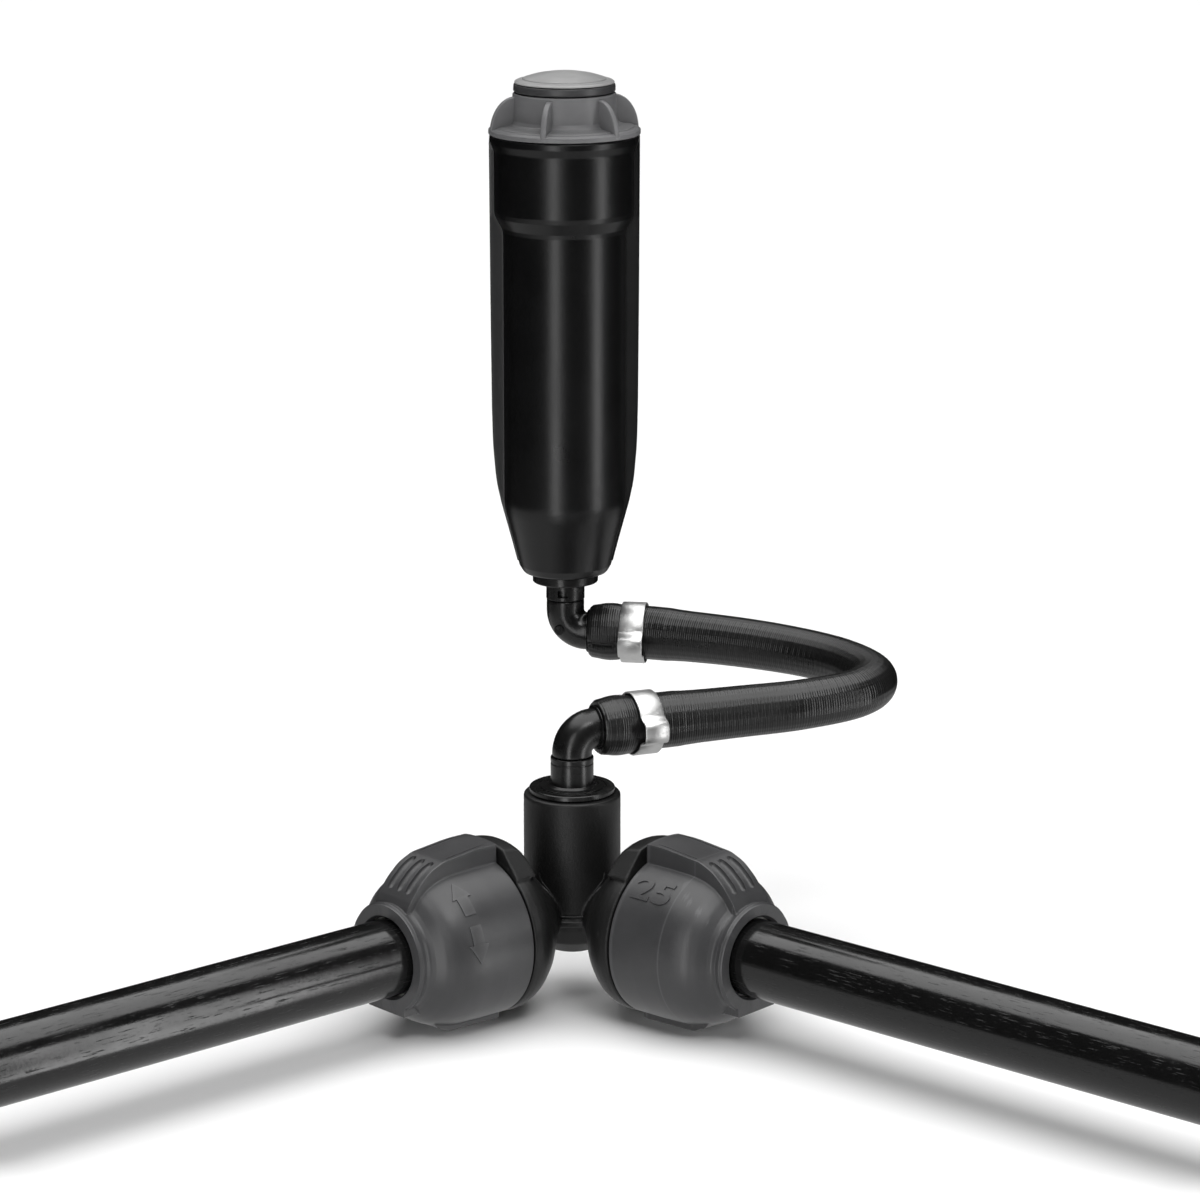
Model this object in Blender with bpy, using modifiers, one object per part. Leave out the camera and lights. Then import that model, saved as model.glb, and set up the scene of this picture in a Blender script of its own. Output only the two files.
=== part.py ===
"""Pop up turbine sprinkler on a swivelling hose joint and a 25 mm corner tee.

Frame: millimetre dimensions below are turned into metres, +Z up.  The origin is where the
vertical socket of the corner tee crosses the axes of the two supply pipes.
"""
import math

import bmesh
import bpy
from mathutils import Matrix, Vector

MM = 0.001
GAP = 0.3            # clearance between neighbouring pieces

# supply line
PIPE_R = 12.5        # 25 mm polyethylene pipe
PIPE_BORE = 10.2
PIPE_START = 23.0    # inner end of a pipe in its socket, from the origin
PIPE_L_END = 243.0
PIPE_R_END = 264.0
PIPE_ANGLE = math.radians(41.7)   # each pipe, from the X axis toward -Y
SOCKET_R = 16.0      # upright socket of the tee
SOCKET_TOP = 39.9
NUT_R = 27.0
NUT_FROM = 39.3
NUT_TO = 79.6
HOOD_FROM = 21.0     # lowest height of the hoods over the sockets

# swing joint
LOW_Z = 60.8         # height of the lower hose tail
UP_Z = 69.2          # height of the upper hose tail
LOW_TURN = math.radians(23.0)
UP_TURN = math.radians(-8.0)
LEG_R = 6.55
HOSE_R = 8.2
HOSE_BORE = 6.6
TAIL_FROM = 8.8      # hose end, measured from the elbow's upright axis
BEND_R = 7.5

# sprinkler
SX, SY = -2.9, 100.0  # its upright axis
CASE_BOTTOM = 90.8
CASE_TOP = 243.7
BARREL_R = 21.6
UPPER_R = 24.5
RISER_R = 13.0
RISER_FOOT = 114.0
RISER_TOP = 236.0
HEAD_R = 17.4
LIFT = 90.0          # stroke of the riser

# gears, all of one module
MODULE = 0.62
PINION_TEETH = 6
WHEEL_TEETH = 12
GEAR_PITCH = MODULE * (PINION_TEETH + WHEEL_TEETH) / 2

UP = Vector((0, 0, 1))
LEFT = Vector((-math.cos(PIPE_ANGLE), -math.sin(PIPE_ANGLE), 0))
RIGHT = Vector((math.cos(PIPE_ANGLE), -math.sin(PIPE_ANGLE), 0))
LOW_DIR = Vector((math.cos(LOW_TURN), math.sin(LOW_TURN), 0))
UP_DIR = Vector((math.cos(UP_TURN), math.sin(UP_TURN), 0))
SPRINKLER = Vector((SX, SY, 0))

for old in list(bpy.data.objects):
    bpy.data.objects.remove(old, do_unlink=True)

PARTS = bpy.data.collections.new("pop_up_sprinkler")
CUTTERS = bpy.data.collections.new("cutters")
bpy.context.scene.collection.children.link(PARTS)
bpy.context.scene.collection.children.link(CUTTERS)


def material(name, grey, roughness, metallic=0.0):
    mat = bpy.data.materials.new(name)
    mat.use_nodes = True
    shader = mat.node_tree.nodes["Principled BSDF"]
    shader.inputs["Base Color"].default_value = (grey[0], grey[1], grey[2], 1)
    shader.inputs["Roughness"].default_value = roughness
    shader.inputs["Metallic"].default_value = metallic
    return mat


ANTHRACITE = material("anthracite_plastic", (0.075, 0.076, 0.078), 0.5)
SATIN_BLACK = material("satin_black_plastic", (0.012, 0.012, 0.013), 0.42)
GRAINED_BLACK = material("grained_black_plastic", (0.018, 0.018, 0.018), 0.6)
GLOSS_BLACK = material("gloss_black_plastic", (0.008, 0.008, 0.008), 0.2)
PIPE_BLACK = material("pipe_black", (0.006, 0.006, 0.006), 0.22)
HOSE_BLACK = material("hose_rubber", (0.01, 0.01, 0.01), 0.38)
SEAL_BLACK = material("seal_rubber", (0.02, 0.02, 0.02), 0.7)
SILVER = material("clamp_silver", (0.72, 0.72, 0.7), 0.3, 1.0)
STEEL = material("spring_steel", (0.55, 0.55, 0.55), 0.3, 1.0)
ACETAL = material("white_acetal", (0.75, 0.75, 0.72), 0.4)
COVER_GREY = material("cover_rubber", (0.12, 0.12, 0.12), 0.45)


def frame(origin, axis, up=None):
    """Matrix that takes local Z to axis and local X to up (world X when axis is upright)."""
    z = axis.normalized()
    x = (up or (UP if abs(z.z) < 0.9 else Vector((1, 0, 0)))).normalized()
    y = z.cross(x).normalized()
    x = y.cross(z)
    mat = Matrix((x, y, z)).transposed().to_4x4()
    mat.translation = Vector(origin) * MM
    return mat


def link(name, mesh, matrix, mat=None):
    obj = bpy.data.objects.new(name, mesh)
    obj.matrix_world = matrix
    if mat is None:
        CUTTERS.objects.link(obj)
        obj.hide_render = True
        obj.display_type = "WIRE"
    else:
        PARTS.objects.link(obj)
        mesh.materials.clear()
        mesh.materials.append(mat)
    return obj


def turned(name, profile, matrix, mat=None, steps=20):
    """Profile of (radius, height) turned about local Z, its outer side from the top down."""
    mesh = bpy.data.meshes.new(name)
    closed = profile[0][0] > 0
    count = len(profile)
    edges = [(i, (i + 1) % count) for i in range(count if closed else count - 1)]
    mesh.from_pydata([(r * MM, 0, z * MM) for r, z in profile], edges, [])
    obj = link(name, mesh, matrix, mat)
    screw = obj.modifiers.new("turn", "SCREW")
    screw.axis = "Z"
    screw.angle = 2 * math.pi
    screw.steps = steps
    screw.render_steps = steps
    screw.use_merge_vertices = True
    screw.merge_threshold = 0.00001
    screw.use_smooth_shade = True
    return obj


def ring(name, outer, inner, low, high, matrix, mat=None, steps=20, edge=0.0):
    """Plain turned ring, with its outer edges broken by edge."""
    profile = [(inner, high), (outer - edge, high)]
    if edge:
        profile += [(outer, high - edge), (outer, low + edge)]
    else:
        profile = [(inner, high), (outer, high)]
    profile += [(outer - edge, low), (inner, low)]
    return turned(name, profile, matrix, mat, steps)


def rod(name, radius, low, high, matrix, mat=None, steps=16):
    return turned(name, [(0, high), (radius, high), (radius, low), (0, low)], matrix, mat, steps)


def to_mesh(curve_obj, name, mat=None):
    """Evaluated curve as a closed mesh object in its place."""
    bpy.context.view_layer.update()
    graph = bpy.context.evaluated_depsgraph_get()
    mesh = bpy.data.meshes.new_from_object(curve_obj.evaluated_get(graph))
    bm = bmesh.new()
    bm.from_mesh(mesh)
    bmesh.ops.remove_doubles(bm, verts=bm.verts, dist=1e-6)
    bmesh.ops.recalc_face_normals(bm, faces=bm.faces)
    bm.to_mesh(mesh)
    bm.free()
    matrix = curve_obj.matrix_world.copy()
    bpy.data.objects.remove(curve_obj, do_unlink=True)
    return link(name, mesh, matrix, mat)


def slab(name, outline, half, matrix, mat=None, holes=()):
    """Flat outline in local XY, extruded by half each way along local Z."""
    curve = bpy.data.curves.new(name, "CURVE")
    curve.dimensions = "2D"
    curve.fill_mode = "BOTH"
    curve.extrude = half * MM
    for loop in (outline, *holes):
        spline = curve.splines.new("POLY")
        spline.points.add(len(loop) - 1)
        for point, (x, y) in zip(spline.points, loop):
            point.co = (x * MM, y * MM, 0, 1)
        spline.use_cyclic_u = True
    obj = bpy.data.objects.new(name, curve)
    bpy.context.scene.collection.objects.link(obj)
    obj.matrix_world = matrix
    return to_mesh(obj, name, mat)


def swept(name, stations, mat=None, resolution=6, matrix=Matrix()):
    """Round tube through stations of (point, radius)."""
    curve = bpy.data.curves.new(name, "CURVE")
    curve.dimensions = "3D"
    curve.bevel_depth = MM
    curve.bevel_resolution = resolution
    curve.use_fill_caps = True
    curve.twist_mode = "MINIMUM"
    spline = curve.splines.new("POLY")
    spline.points.add(len(stations) - 1)
    for point, (place, radius) in zip(spline.points, stations):
        point.co = (*(Vector(place) * MM), 1)
        point.radius = radius
    obj = bpy.data.objects.new(name, curve)
    bpy.context.scene.collection.objects.link(obj)
    obj.matrix_world = matrix
    return to_mesh(obj, name, mat)


def box(name, low, high, matrix=Matrix(), mat=None):
    """Box between two corners, in millimetres."""
    low, high = Vector(low), Vector(high)
    mesh = bpy.data.meshes.new(name)
    bm = bmesh.new()
    bmesh.ops.create_cube(bm, size=1)
    size = (high - low) * MM
    bmesh.ops.scale(bm, vec=size, verts=bm.verts)
    bmesh.ops.translate(bm, vec=(low + high) / 2 * MM, verts=bm.verts)
    bm.to_mesh(mesh)
    bm.free()
    return link(name, mesh, matrix, mat)


def boolean(obj, other, operation="DIFFERENCE"):
    mod = obj.modifiers.new(operation.lower(), "BOOLEAN")
    mod.operation = operation
    mod.solver = "EXACT"
    mod.object = other


def join(obj, *others):
    for other in others:
        boolean(obj, other, "UNION")


def cut(obj, *others):
    for other in others:
        boolean(obj, other)


AT_TEE = frame((0, 0, 0), UP)
AT_SPRINKLER = frame(SPRINKLER, UP)

# ---------------------------------------------------------------- corner tee
tee = turned("corner_tee", [
    (0, SOCKET_TOP), (15.4, SOCKET_TOP), (SOCKET_R, SOCKET_TOP - 0.6), (SOCKET_R, 3.0),
    (14.6, -4.0), (12.6, -9.0), (8.0, -13.2), (0, -14.0)], AT_TEE, GRAINED_BLACK, 24)

for side, axis in (("left", LEFT), ("right", RIGHT)):
    along = frame((0, 0, 0), axis)
    branch = turned("tee_branch_" + side, [
        (0, 55.0), (20.2, 55.0), (20.2, NUT_FROM - 0.4), (26.7, NUT_FROM - 0.4), (26.9, 36.0),
        (26.6, 32.0), (25.5, 28.6), (22.6, 24.2), (19.0, 20.4), (15.2, 17.2), (11.5, 15.0),
        (9.4, 13.0), (0, 13.0)], along, None, 24)
    hood = turned("tee_hood_" + side, [
        (0, 38.4), (31.2, 38.4), (30.8, 33.0), (30.2, 31.6), (28.5, 30.6), (24.0, 29.6),
        (0, 29.3)], along @ Matrix.Rotation(0.11, 4, "Z"), None, 28)
    cut(hood, box("hood_cut_" + side, (-60, -60, -60), (60, 60, HOOD_FROM)))
    join(tee, branch, hood)

rib = box("tee_rib", (-5.0, -16.8, -1.9), (5.0, -8.0, 0.1))
join(tee, rib)

for side, axis in (("left", LEFT), ("right", RIGHT)):
    along = frame((0, 0, 0), axis) @ Matrix.Rotation(0.07, 4, "Z")
    bore = turned("tee_bore_" + side, [
        (0, 56.0), (16.2, 56.0), (16.2, 48.5), (12.9, 48.5), (12.9, 22.4), (7.4, 22.4),
        (7.4, -2.5), (0, -2.5)], along, None, 24)
    cut(tee, bore)
socket_bore = turned("tee_bore_up", [
    (0, 41.0), (13.2, 41.0), (13.2, 20.0), (9.4, 20.0), (9.4, -1.0), (0, -1.0)],
    AT_TEE @ Matrix.Rotation(0.07, 4, "Z"), None, 24)
cut(tee, socket_bore)

# ------------------------------------------------- pipes and push-fit unions
for side, axis, end in (("left", LEFT, PIPE_L_END), ("right", RIGHT, PIPE_R_END)):
    along = frame((0, 0, 0), axis)
    ring("supply_pipe_" + side, PIPE_R, PIPE_BORE, PIPE_START, end, along, PIPE_BLACK, 32)
    turned("pipe_seal_" + side, [
        (12.8, 53.2), (15.4, 53.2), (15.9, 52.4), (15.9, 49.8), (15.4, 48.9), (12.8, 48.9)],
        along, SEAL_BLACK)
    ring("pressure_ring_" + side, 18.6, 12.9, 55.4, 58.2, along, ACETAL, 20, 0.4)
    grip = turned("grip_ring_" + side, [
        (12.85, 75.4), (14.5, 75.4), (18.3, 62.0), (18.3, 58.6), (12.85, 58.6)],
        along, ACETAL)
    cut(grip, box("grip_slit_" + side, (8.0, -1.2, 50.0), (24.0, 1.2, 80.0), along))

    nut = turned("quick_nut_" + side, [
        (0, NUT_TO), (17.3, NUT_TO), (18.0, NUT_TO - 0.7), (17.7, 76.8), (18.2, 75.2),
        (21.4, 72.0), (23.8, 69.0), (25.5, 65.0), (26.4, 60.0), (26.7, 50.0),
        (NUT_R, NUT_FROM + 0.7), (NUT_R - 0.6, NUT_FROM), (0, NUT_FROM)],
        along, ANTHRACITE, 32)
    # local X is up and local Z runs out along the pipe; the pads lie in that plane
    plane = along @ Matrix.Rotation(math.radians(90), 4, "X")
    pad = slab("nut_pad_" + side, [
        (15.0, NUT_FROM + 0.4), (32.4, NUT_FROM + 0.4), (30.2, 62.0), (28.2, 67.0),
        (24.6, 71.6), (20.4, 75.4), (18.4, 76.6), (15.0, 76.6)], 8.0, plane)
    keel = slab("nut_keel_" + side, [
        (-15.0, NUT_FROM + 0.4), (-27.3, NUT_FROM + 0.4), (-26.5, 62.0), (-15.0, 62.0)],
        9.0, plane)
    join(nut, pad, keel)
    slope = math.atan2(28.9 - 22.0, 74.0 - 65.2)
    for k in (-1, 0, 1):
        spot = along @ Matrix.Translation(Vector((25.6, 4.4 * k, 69.8)) * MM)
        tilt = spot @ Matrix.Rotation(-slope, 4, "Y")
        cut(nut, box("nut_slot_%s_%d" % (side, k + 1), (-0.9, -0.95, -6.0), (4.0, 0.95, 6.0),
                     tilt))
    room = turned("nut_room_" + side, [
        (0, NUT_TO + 1), (13.2, NUT_TO + 1), (13.2, 76.8), (14.9, 76.0), (20.5, 60.0),
        (20.5, NUT_FROM - 1), (0, NUT_FROM - 1)], along, None, 24)
    cut(nut, room)

# --------------------------------------------------------- threaded nipples
low_nipple = turned("lower_nipple", [
    (5.5, 52.0), (7.1, 52.0), (7.1, 42.6), (7.6, 42.0), (13.8, 42.0), (14.1, 41.7),
    (14.1, 40.3), (12.9, 40.3), (12.9, 24.0), (12.2, 23.0), (5.5, 23.0)],
    AT_TEE, GLOSS_BLACK, 24)
ring("lower_swivel_ring", 5.15, 4.2, 33.2, 34.8, AT_TEE, SEAL_BLACK, 16)

up_nipple = turned("upper_nipple", [
    (5.4, 102.6), (9.6, 102.6), (10.2, 101.8), (10.2, 90.0), (11.4, 90.0), (11.4, 87.3),
    (11.1, 87.0), (7.2, 87.0), (6.7, 86.5), (6.7, 80.9), (5.4, 80.9)],
    AT_SPRINKLER, GLOSS_BLACK, 24)
cut(up_nipple, box("nipple_window", (-2.6, -8.0, 82.2), (0.8, -4.0, 84.8), AT_SPRINKLER))
ring("upper_swivel_ring", 5.05, 4.1, 93.2, 94.8, AT_SPRINKLER, SEAL_BLACK, 16)


# ------------------------------------------------------------------- elbows
def elbow(name, base, height, out, stub_end, sign):
    """Swivel stub, tight bend and barbed tail; sign is +1 when the stub points down."""
    base = Vector(base)
    groove = stub_end + sign * (9.6 if sign > 0 else 7.2)
    line = [(stub_end, 4.7), (stub_end + sign * 0.5, 5.1), (groove, 5.1),
            (groove + sign * 0.02, 3.9), (groove + sign * 1.98, 3.9), (groove + sign * 2.0, 5.1)]
    shoulder = 52.3 if sign > 0 else 80.6
    line += [(shoulder - sign * 0.02, 5.1), (shoulder, LEG_R - 0.15),
             (shoulder + sign * 0.3, LEG_R)]
    stations = [(base + UP * z, r) for z, r in line]
    for k in range(9):
        a = math.radians(90) * k / 8
        turn = out * BEND_R * (1 - math.cos(a)) + UP * sign * BEND_R * (math.sin(a) - 1)
        stations.append((base + UP * height + turn, LEG_R))
    tail = [(8.2, LEG_R), (8.25, 5.3), (12.0, 5.5), (15.0, 6.05), (15.05, 5.4), (18.6, 6.05),
            (18.65, 5.4), (22.2, 6.05), (22.25, 5.4), (27.6, 5.9), (29.4, 5.2)]
    stations += [(base + UP * height + out * s, r) for s, r in tail]
    body = swept(name, stations, GLOSS_BLACK, 4)
    inner = [(base + UP * (stub_end - sign * 2.0), 3.3), (stations[9][0] * 1.0, 3.3)]
    inner += [(place, 3.3) for place, _ in stations[10:18]]
    inner += [(base + UP * height + out * 32.0, 3.3)]
    cut(body, swept(name + "_bore", inner, None, 2))
    return body


elbow("lower_elbow", (0, 0, 0), LOW_Z, LOW_DIR, 23.4, 1)
elbow("upper_elbow", SPRINKLER, UP_Z, UP_DIR, 102.2, -1)


# --------------------------------------------------------------- swing hose
def hermite(knots, count):
    """Smooth curve through knots, resampled at count points of even spacing."""
    dense = []
    for k in range(len(knots) - 1):
        p0 = knots[max(k - 1, 0)]
        p1, p2 = knots[k], knots[k + 1]
        p3 = knots[min(k + 2, len(knots) - 1)]
        for j in range(24):
            t = j / 24
            dense.append(0.5 * ((2 * p1) + (p2 - p0) * t + (2 * p0 - 5 * p1 + 4 * p2 - p3) * t ** 2
                                + (3 * p1 - p0 - 3 * p2 + p3) * t ** 3))
    dense.append(knots[-1])
    lengths = [0.0]
    for a, b in zip(dense, dense[1:]):
        lengths.append(lengths[-1] + (b - a).length)
    points = []
    for k in range(count):
        want = lengths[-1] * k / (count - 1)
        j = max(i for i in range(len(dense) - 1) if lengths[i] <= want + 1e-9)
        share = (want - lengths[j]) / (lengths[j + 1] - lengths[j])
        points.append(dense[j].lerp(dense[j + 1], share))
    return points, lengths[-1]


HOSE_KNOTS = [SPRINKLER + UP * UP_Z + UP_DIR * s for s in (TAIL_FROM, 20.0, 31.0)]
HOSE_KNOTS += [Vector(p) for p in (
    (56.0, 84.5, 69.0), (77.5, 73.5, 68.3), (93.0, 61.0, 67.4), (101.5, 44.0, 66.4),
    (95.0, 29.5, 65.3), (76.5, 21.0, 63.8), (55.5, 17.6, 62.3))]
HOSE_KNOTS += [UP * LOW_Z + LOW_DIR * s for s in (31.0, 20.0, TAIL_FROM)]
HOSE_POINTS, HOSE_LENGTH = hermite(HOSE_KNOTS, 31)


def hose_radius(s):
    """Outer radius at distance s from either end: swollen over the barbs, nipped by the clamp."""
    table = [(0, 9.0), (3, 9.5), (7, 10.0), (10, 9.7), (12, 9.4), (20, 9.2), (23, 8.6),
             (27, HOSE_R), (400, HOSE_R)]
    for (s0, r0), (s1, r1) in zip(table, table[1:]):
        if s <= s1:
            return r0 + (r1 - r0) * (s - s0) / (s1 - s0)
    return HOSE_R


step = HOSE_LENGTH / (len(HOSE_POINTS) - 1)
outer = [(p, hose_radius(min(k, len(HOSE_POINTS) - 1 - k) * step))
         for k, p in enumerate(HOSE_POINTS)]
hose = swept("swing_hose", outer, HOSE_BLACK, 4)
start = (HOSE_POINTS[0] - HOSE_POINTS[1]).normalized() * 2
finish = (HOSE_POINTS[-1] - HOSE_POINTS[-2]).normalized() * 2
inner = [(HOSE_POINTS[0] + start, HOSE_BORE)] + [(p, HOSE_BORE) for p in HOSE_POINTS[1:-1]]
inner.append((HOSE_POINTS[-1] + finish, HOSE_BORE))
cut(hose, swept("hose_bore", inner, None, 4))

for name, base, out, low, ear_turn in (
        ("upper_hose_clamp", SPRINKLER + UP * UP_Z, UP_DIR, 20.2, 205),
        ("lower_hose_clamp", UP * LOW_Z, LOW_DIR, 20.6, 112)):
    along = frame(base, out)
    band = ring(name, 10.75, 9.9, low, low + 8.4, along, SILVER, 28)
    ear = turned(name + "_ear", [
        (2.9, low + 7.2), (3.5, low + 7.2), (3.5, low + 1.2), (2.9, low + 1.2)],
        along @ Matrix.Rotation(math.radians(ear_turn), 4, "Z")
        @ Matrix.Translation((11.2 * MM, 0, 0)), None, 12)
    join(band, ear)
    cut(band, ring(name + "_clear", 9.9, 5.0, low - 2, low + 11, along, None, 24))

# --------------------------------------------------------------- case
case = turned("sprinkler_case", [
    (0, CASE_TOP), (25.3, CASE_TOP), (25.7, 243.2), (25.7, 241.6), (UPPER_R, 239.4),
    (UPPER_R, 217.4), (24.0, 216.0), (22.0, 212.0), (BARREL_R, 210.6), (BARREL_R, 116.0),
    (21.0, 112.6), (18.5, 103.2), (16.1, 93.4), (14.9, CASE_BOTTOM), (0, CASE_BOTTOM)],
    AT_SPRINKLER, SATIN_BLACK, 32)
half = [(25.7, 241.4), (25.5, 190.0), (25.2, 150.0), (24.9, 137.0), (23.8, 124.0),
        (22.1, 116.2), (18.6, 103.4), (16.6, 95.6)]
plane = AT_SPRINKLER @ Matrix.Rotation(math.radians(90), 4, "X")
wings = slab("case_wings", half + [(-x, z) for x, z in reversed(half)], 5.5, plane)
join(case, wings)
cut(case, turned("case_room", [
    (0, 245.0), (22.3, 245.0), (22.3, 219.5), (19.3, 214.0), (19.3, 113.7), (12.4, 113.7),
    (12.4, 104.6), (10.5, 103.4), (10.5, 90.0), (0, 90.0)], AT_SPRINKLER, None, 24))

# --------------------------------------------------------------- cap
cap = turned("screw_cap", [
    (0, 258.0), (17.3, 258.0), (17.75, 257.5), (18.05, 248.2), (19.4, 247.3), (25.2, 246.3),
    (26.0, 245.5), (26.0, 244.0), (22.0, 244.0), (22.0, 232.0), (0, 232.0)],
    AT_SPRINKLER, ANTHRACITE, 32)
arc = [(17.3 + 8.7 * math.cos(math.radians(a)), 244.6 + 12.4 * math.sin(math.radians(a)))
       for a in range(0, 91, 18)]
for k in range(6):
    turn = Matrix.Rotation(math.radians(60 * k - 106), 4, "Z")
    fin = slab("cap_fin_%d" % k, arc + [(15.0, 257.0), (15.0, 244.6)], 1.0,
               AT_SPRINKLER @ turn @ Matrix.Rotation(math.radians(90), 4, "X"))
    join(cap, fin)
cut(cap, turned("cap_room", [
    (0, 259.0), (13.9, 259.0), (13.9, 253.9), (15.9, 253.9), (15.9, 244.9), (19.9, 244.9),
    (19.9, 231.0), (0, 231.0)], AT_SPRINKLER, None, 24))

turned("wiper_seal", [
    (13.3, 253.6), (15.6, 253.6), (15.6, 244.6), (19.6, 244.6), (19.6, 241.9), (13.3, 241.9)],
    AT_SPRINKLER, SEAL_BLACK)
ring("guide_ring", 19.6, 13.4, 236.4, 241.6, AT_SPRINKLER, ACETAL)
ring("cap_seal", 21.9, 20.6, 229.9, 231.7, AT_SPRINKLER, SEAL_BLACK)

# --------------------------------------------------------------- riser
turned("riser_tube", [
    (11.4, RISER_TOP), (RISER_R, RISER_TOP), (RISER_R, 117.0), (18.6, 116.5),
    (18.6, RISER_FOOT), (11.4, RISER_FOOT)], AT_SPRINKLER, SATIN_BLACK)
turns = 9
spring = []
for k in range(turns * 10 + 1):
    a = 2 * math.pi * k / 10
    z = 118.0 + (235.2 - 118.0) * k / (turns * 10)
    spring.append((Vector((16.2 * math.cos(a), 16.2 * math.sin(a), z)), 0.8))
swept("retraction_spring", spring, STEEL, 0, AT_SPRINKLER)

screen = turned("inlet_screen", [
    (0, 106.2), (8.1, 106.2), (8.4, 119.0), (11.1, 119.0), (11.1, 117.2), (9.6, 117.0),
    (9.3, 105.0), (0, 105.0)], AT_SPRINKLER, ACETAL)
for k in range(4):
    turn = AT_SPRINKLER @ Matrix.Rotation(math.radians(45 * k), 4, "Z")
    cut(screen, box("screen_slot_%d" % k, (-12, -1.3, 108.4), (12, 1.3, 115.2), turn))

# --------------------------------------------------------------- water drive
stator = ring("stator_plate", 11.1, 1.3, 176.0, 178.6, AT_SPRINKLER, ACETAL)
for k in range(6):
    turn = Matrix.Rotation(math.radians(60 * k), 4, "Z")
    lean = Matrix.Translation((6.8 * MM, 0, 177.3 * MM)) @ Matrix.Rotation(0.5, 4, "X")
    jet = rod("stator_jet_%d" % k, 1.5, -4, 4, AT_SPRINKLER @ turn @ lean, None, 8)
    cut(stator, jet)

wheel = rod("turbine_wheel", 3.0, 180.4, 186.0, AT_SPRINKLER, ACETAL, 24)
for k in range(4):
    turn = AT_SPRINKLER @ Matrix.Rotation(math.radians(45 * k), 4, "Z")
    join(wheel, box("turbine_blade_%d" % k, (-9.3, -0.45, 180.8), (9.3, 0.45, 185.6), turn))
join(wheel, ring("turbine_rim", 9.9, 8.9, 180.4, 186.0, AT_SPRINKLER, None, 24))
cut(wheel, rod("turbine_bore", 1.1, 179, 188, AT_SPRINKLER, None, 16))
turned("turbine_shaft", [
    (0, 200.6), (0.5, 200.6), (0.5, 195.6), (0.8, 195.4), (0.8, 174.6), (0, 174.6)],
    AT_SPRINKLER, STEEL, 12)


def gear(name, teeth, low, high, matrix, phase, mat=None):
    """Spur gear with slim trapezoid teeth; phase turns its first tooth from local X."""
    pitch = MODULE * teeth / 2
    root, tip = pitch - 0.75, pitch + 0.24
    outline = []
    for k in range(teeth):
        mid = phase + 2 * math.pi * k / teeth
        for radius, width in ((root, -0.42), (tip, -0.20), (tip, 0.20), (root, 0.42)):
            a = mid + width / radius
            outline.append((radius * math.cos(a), radius * math.sin(a)))
    middle = Matrix.Translation((0, 0, (low + high) / 2 * MM))
    return slab(name, outline, (high - low) / 2, matrix @ middle, mat)


IDLER = AT_SPRINKLER @ Matrix.Translation((GEAR_PITCH * MM, 0, 0))
pinion = gear("turbine_pinion", PINION_TEETH, 196.2, 199.8, AT_SPRINKLER, 0, ACETAL)
cut(pinion, rod("pinion_bore", 0.8, 195, 201, AT_SPRINKLER, None, 12))
idler = gear("idler_wheel", WHEEL_TEETH, 196.2, 199.8, IDLER,
             math.pi + math.pi / WHEEL_TEETH, ACETAL)
join(idler, gear("idler_small", PINION_TEETH, 199.4, 206.0, IDLER, math.pi))
cut(idler, rod("idler_bore", 0.8, 195, 207, IDLER, None, 12))
rod("idler_pin", 0.5, 190.8, 213.4, IDLER, STEEL, 12)
output = gear("output_wheel", WHEEL_TEETH, 201.6, 205.6, AT_SPRINKLER,
              math.pi / WHEEL_TEETH, ACETAL)
cut(output, rod("output_bore", 1.6, 200, 207, AT_SPRINKLER, None, 16))
turned("output_shaft", [
    (0, 243.6), (2.3, 243.6), (2.3, 206.4), (1.3, 206.3), (1.3, 201.2), (0, 201.2)],
    AT_SPRINKLER, STEEL, 16)

gear_case = turned("gear_case", [
    (10.2, 213.4), (11.0, 213.4), (11.0, 189.0), (1.2, 189.0), (1.2, 190.4), (10.2, 190.4)],
    AT_SPRINKLER, SATIN_BLACK)
ring("gear_case_lid", 10.9, 2.6, 213.8, 215.8, AT_SPRINKLER, SATIN_BLACK, 32)

# --------------------------------------------------------------- turret
turret = turned("nozzle_turret", [
    (0, 258.1), (12.6, 258.1), (RISER_R, 257.7), (RISER_R, 236.4), (0, 236.4)],
    AT_SPRINKLER, SATIN_BLACK)
outlet = AT_SPRINKLER @ frame((0, 0, 247.0), Vector((0, -1, 0)))
cut(turret, rod("turret_shaft_bore", 2.6, 235, 244.2, AT_SPRINKLER, None, 16))
cut(turret, rod("turret_nozzle_bore", 3.5, 4.6, 15.0, outlet, None, 20))
rise = AT_SPRINKLER @ Matrix.Translation((0, -7.2 * MM, 0))
cut(turret, rod("turret_water_way", 2.4, 235.0, 247.0, rise, None, 16))
screw_at = AT_SPRINKLER @ Matrix.Translation((0, -10.6 * MM, 0))
cut(turret, rod("turret_screw_bore", 1.3, 248.0, 259.0, screw_at, None, 12))
ring("spray_nozzle", 3.2, 1.7, 8.4, 12.7, outlet, ACETAL, 20)
rod("radius_screw", 1.0, 250.8, 257.9, screw_at, STEEL, 12)
ring("turret_head", HEAD_R, 2.6, 258.4, 261.1, AT_SPRINKLER, GLOSS_BLACK, 40, 0.4)
turned("turret_cover", [
    (0, 265.2), (5.0, 265.0), (10.0, 264.2), (14.2, 262.9), (14.5, 262.5), (16.3, 262.3),
    (17.0, 261.9), (17.1, 261.4), (2.3, 261.4), (2.3, 258.7), (0, 258.7)],
    AT_SPRINKLER, COVER_GREY, 24)
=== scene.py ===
"""Pop up sprinkler on a swing joint and a corner tee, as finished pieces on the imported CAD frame."""
import math

import bmesh
import bpy
from mathutils import Matrix, Vector


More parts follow.
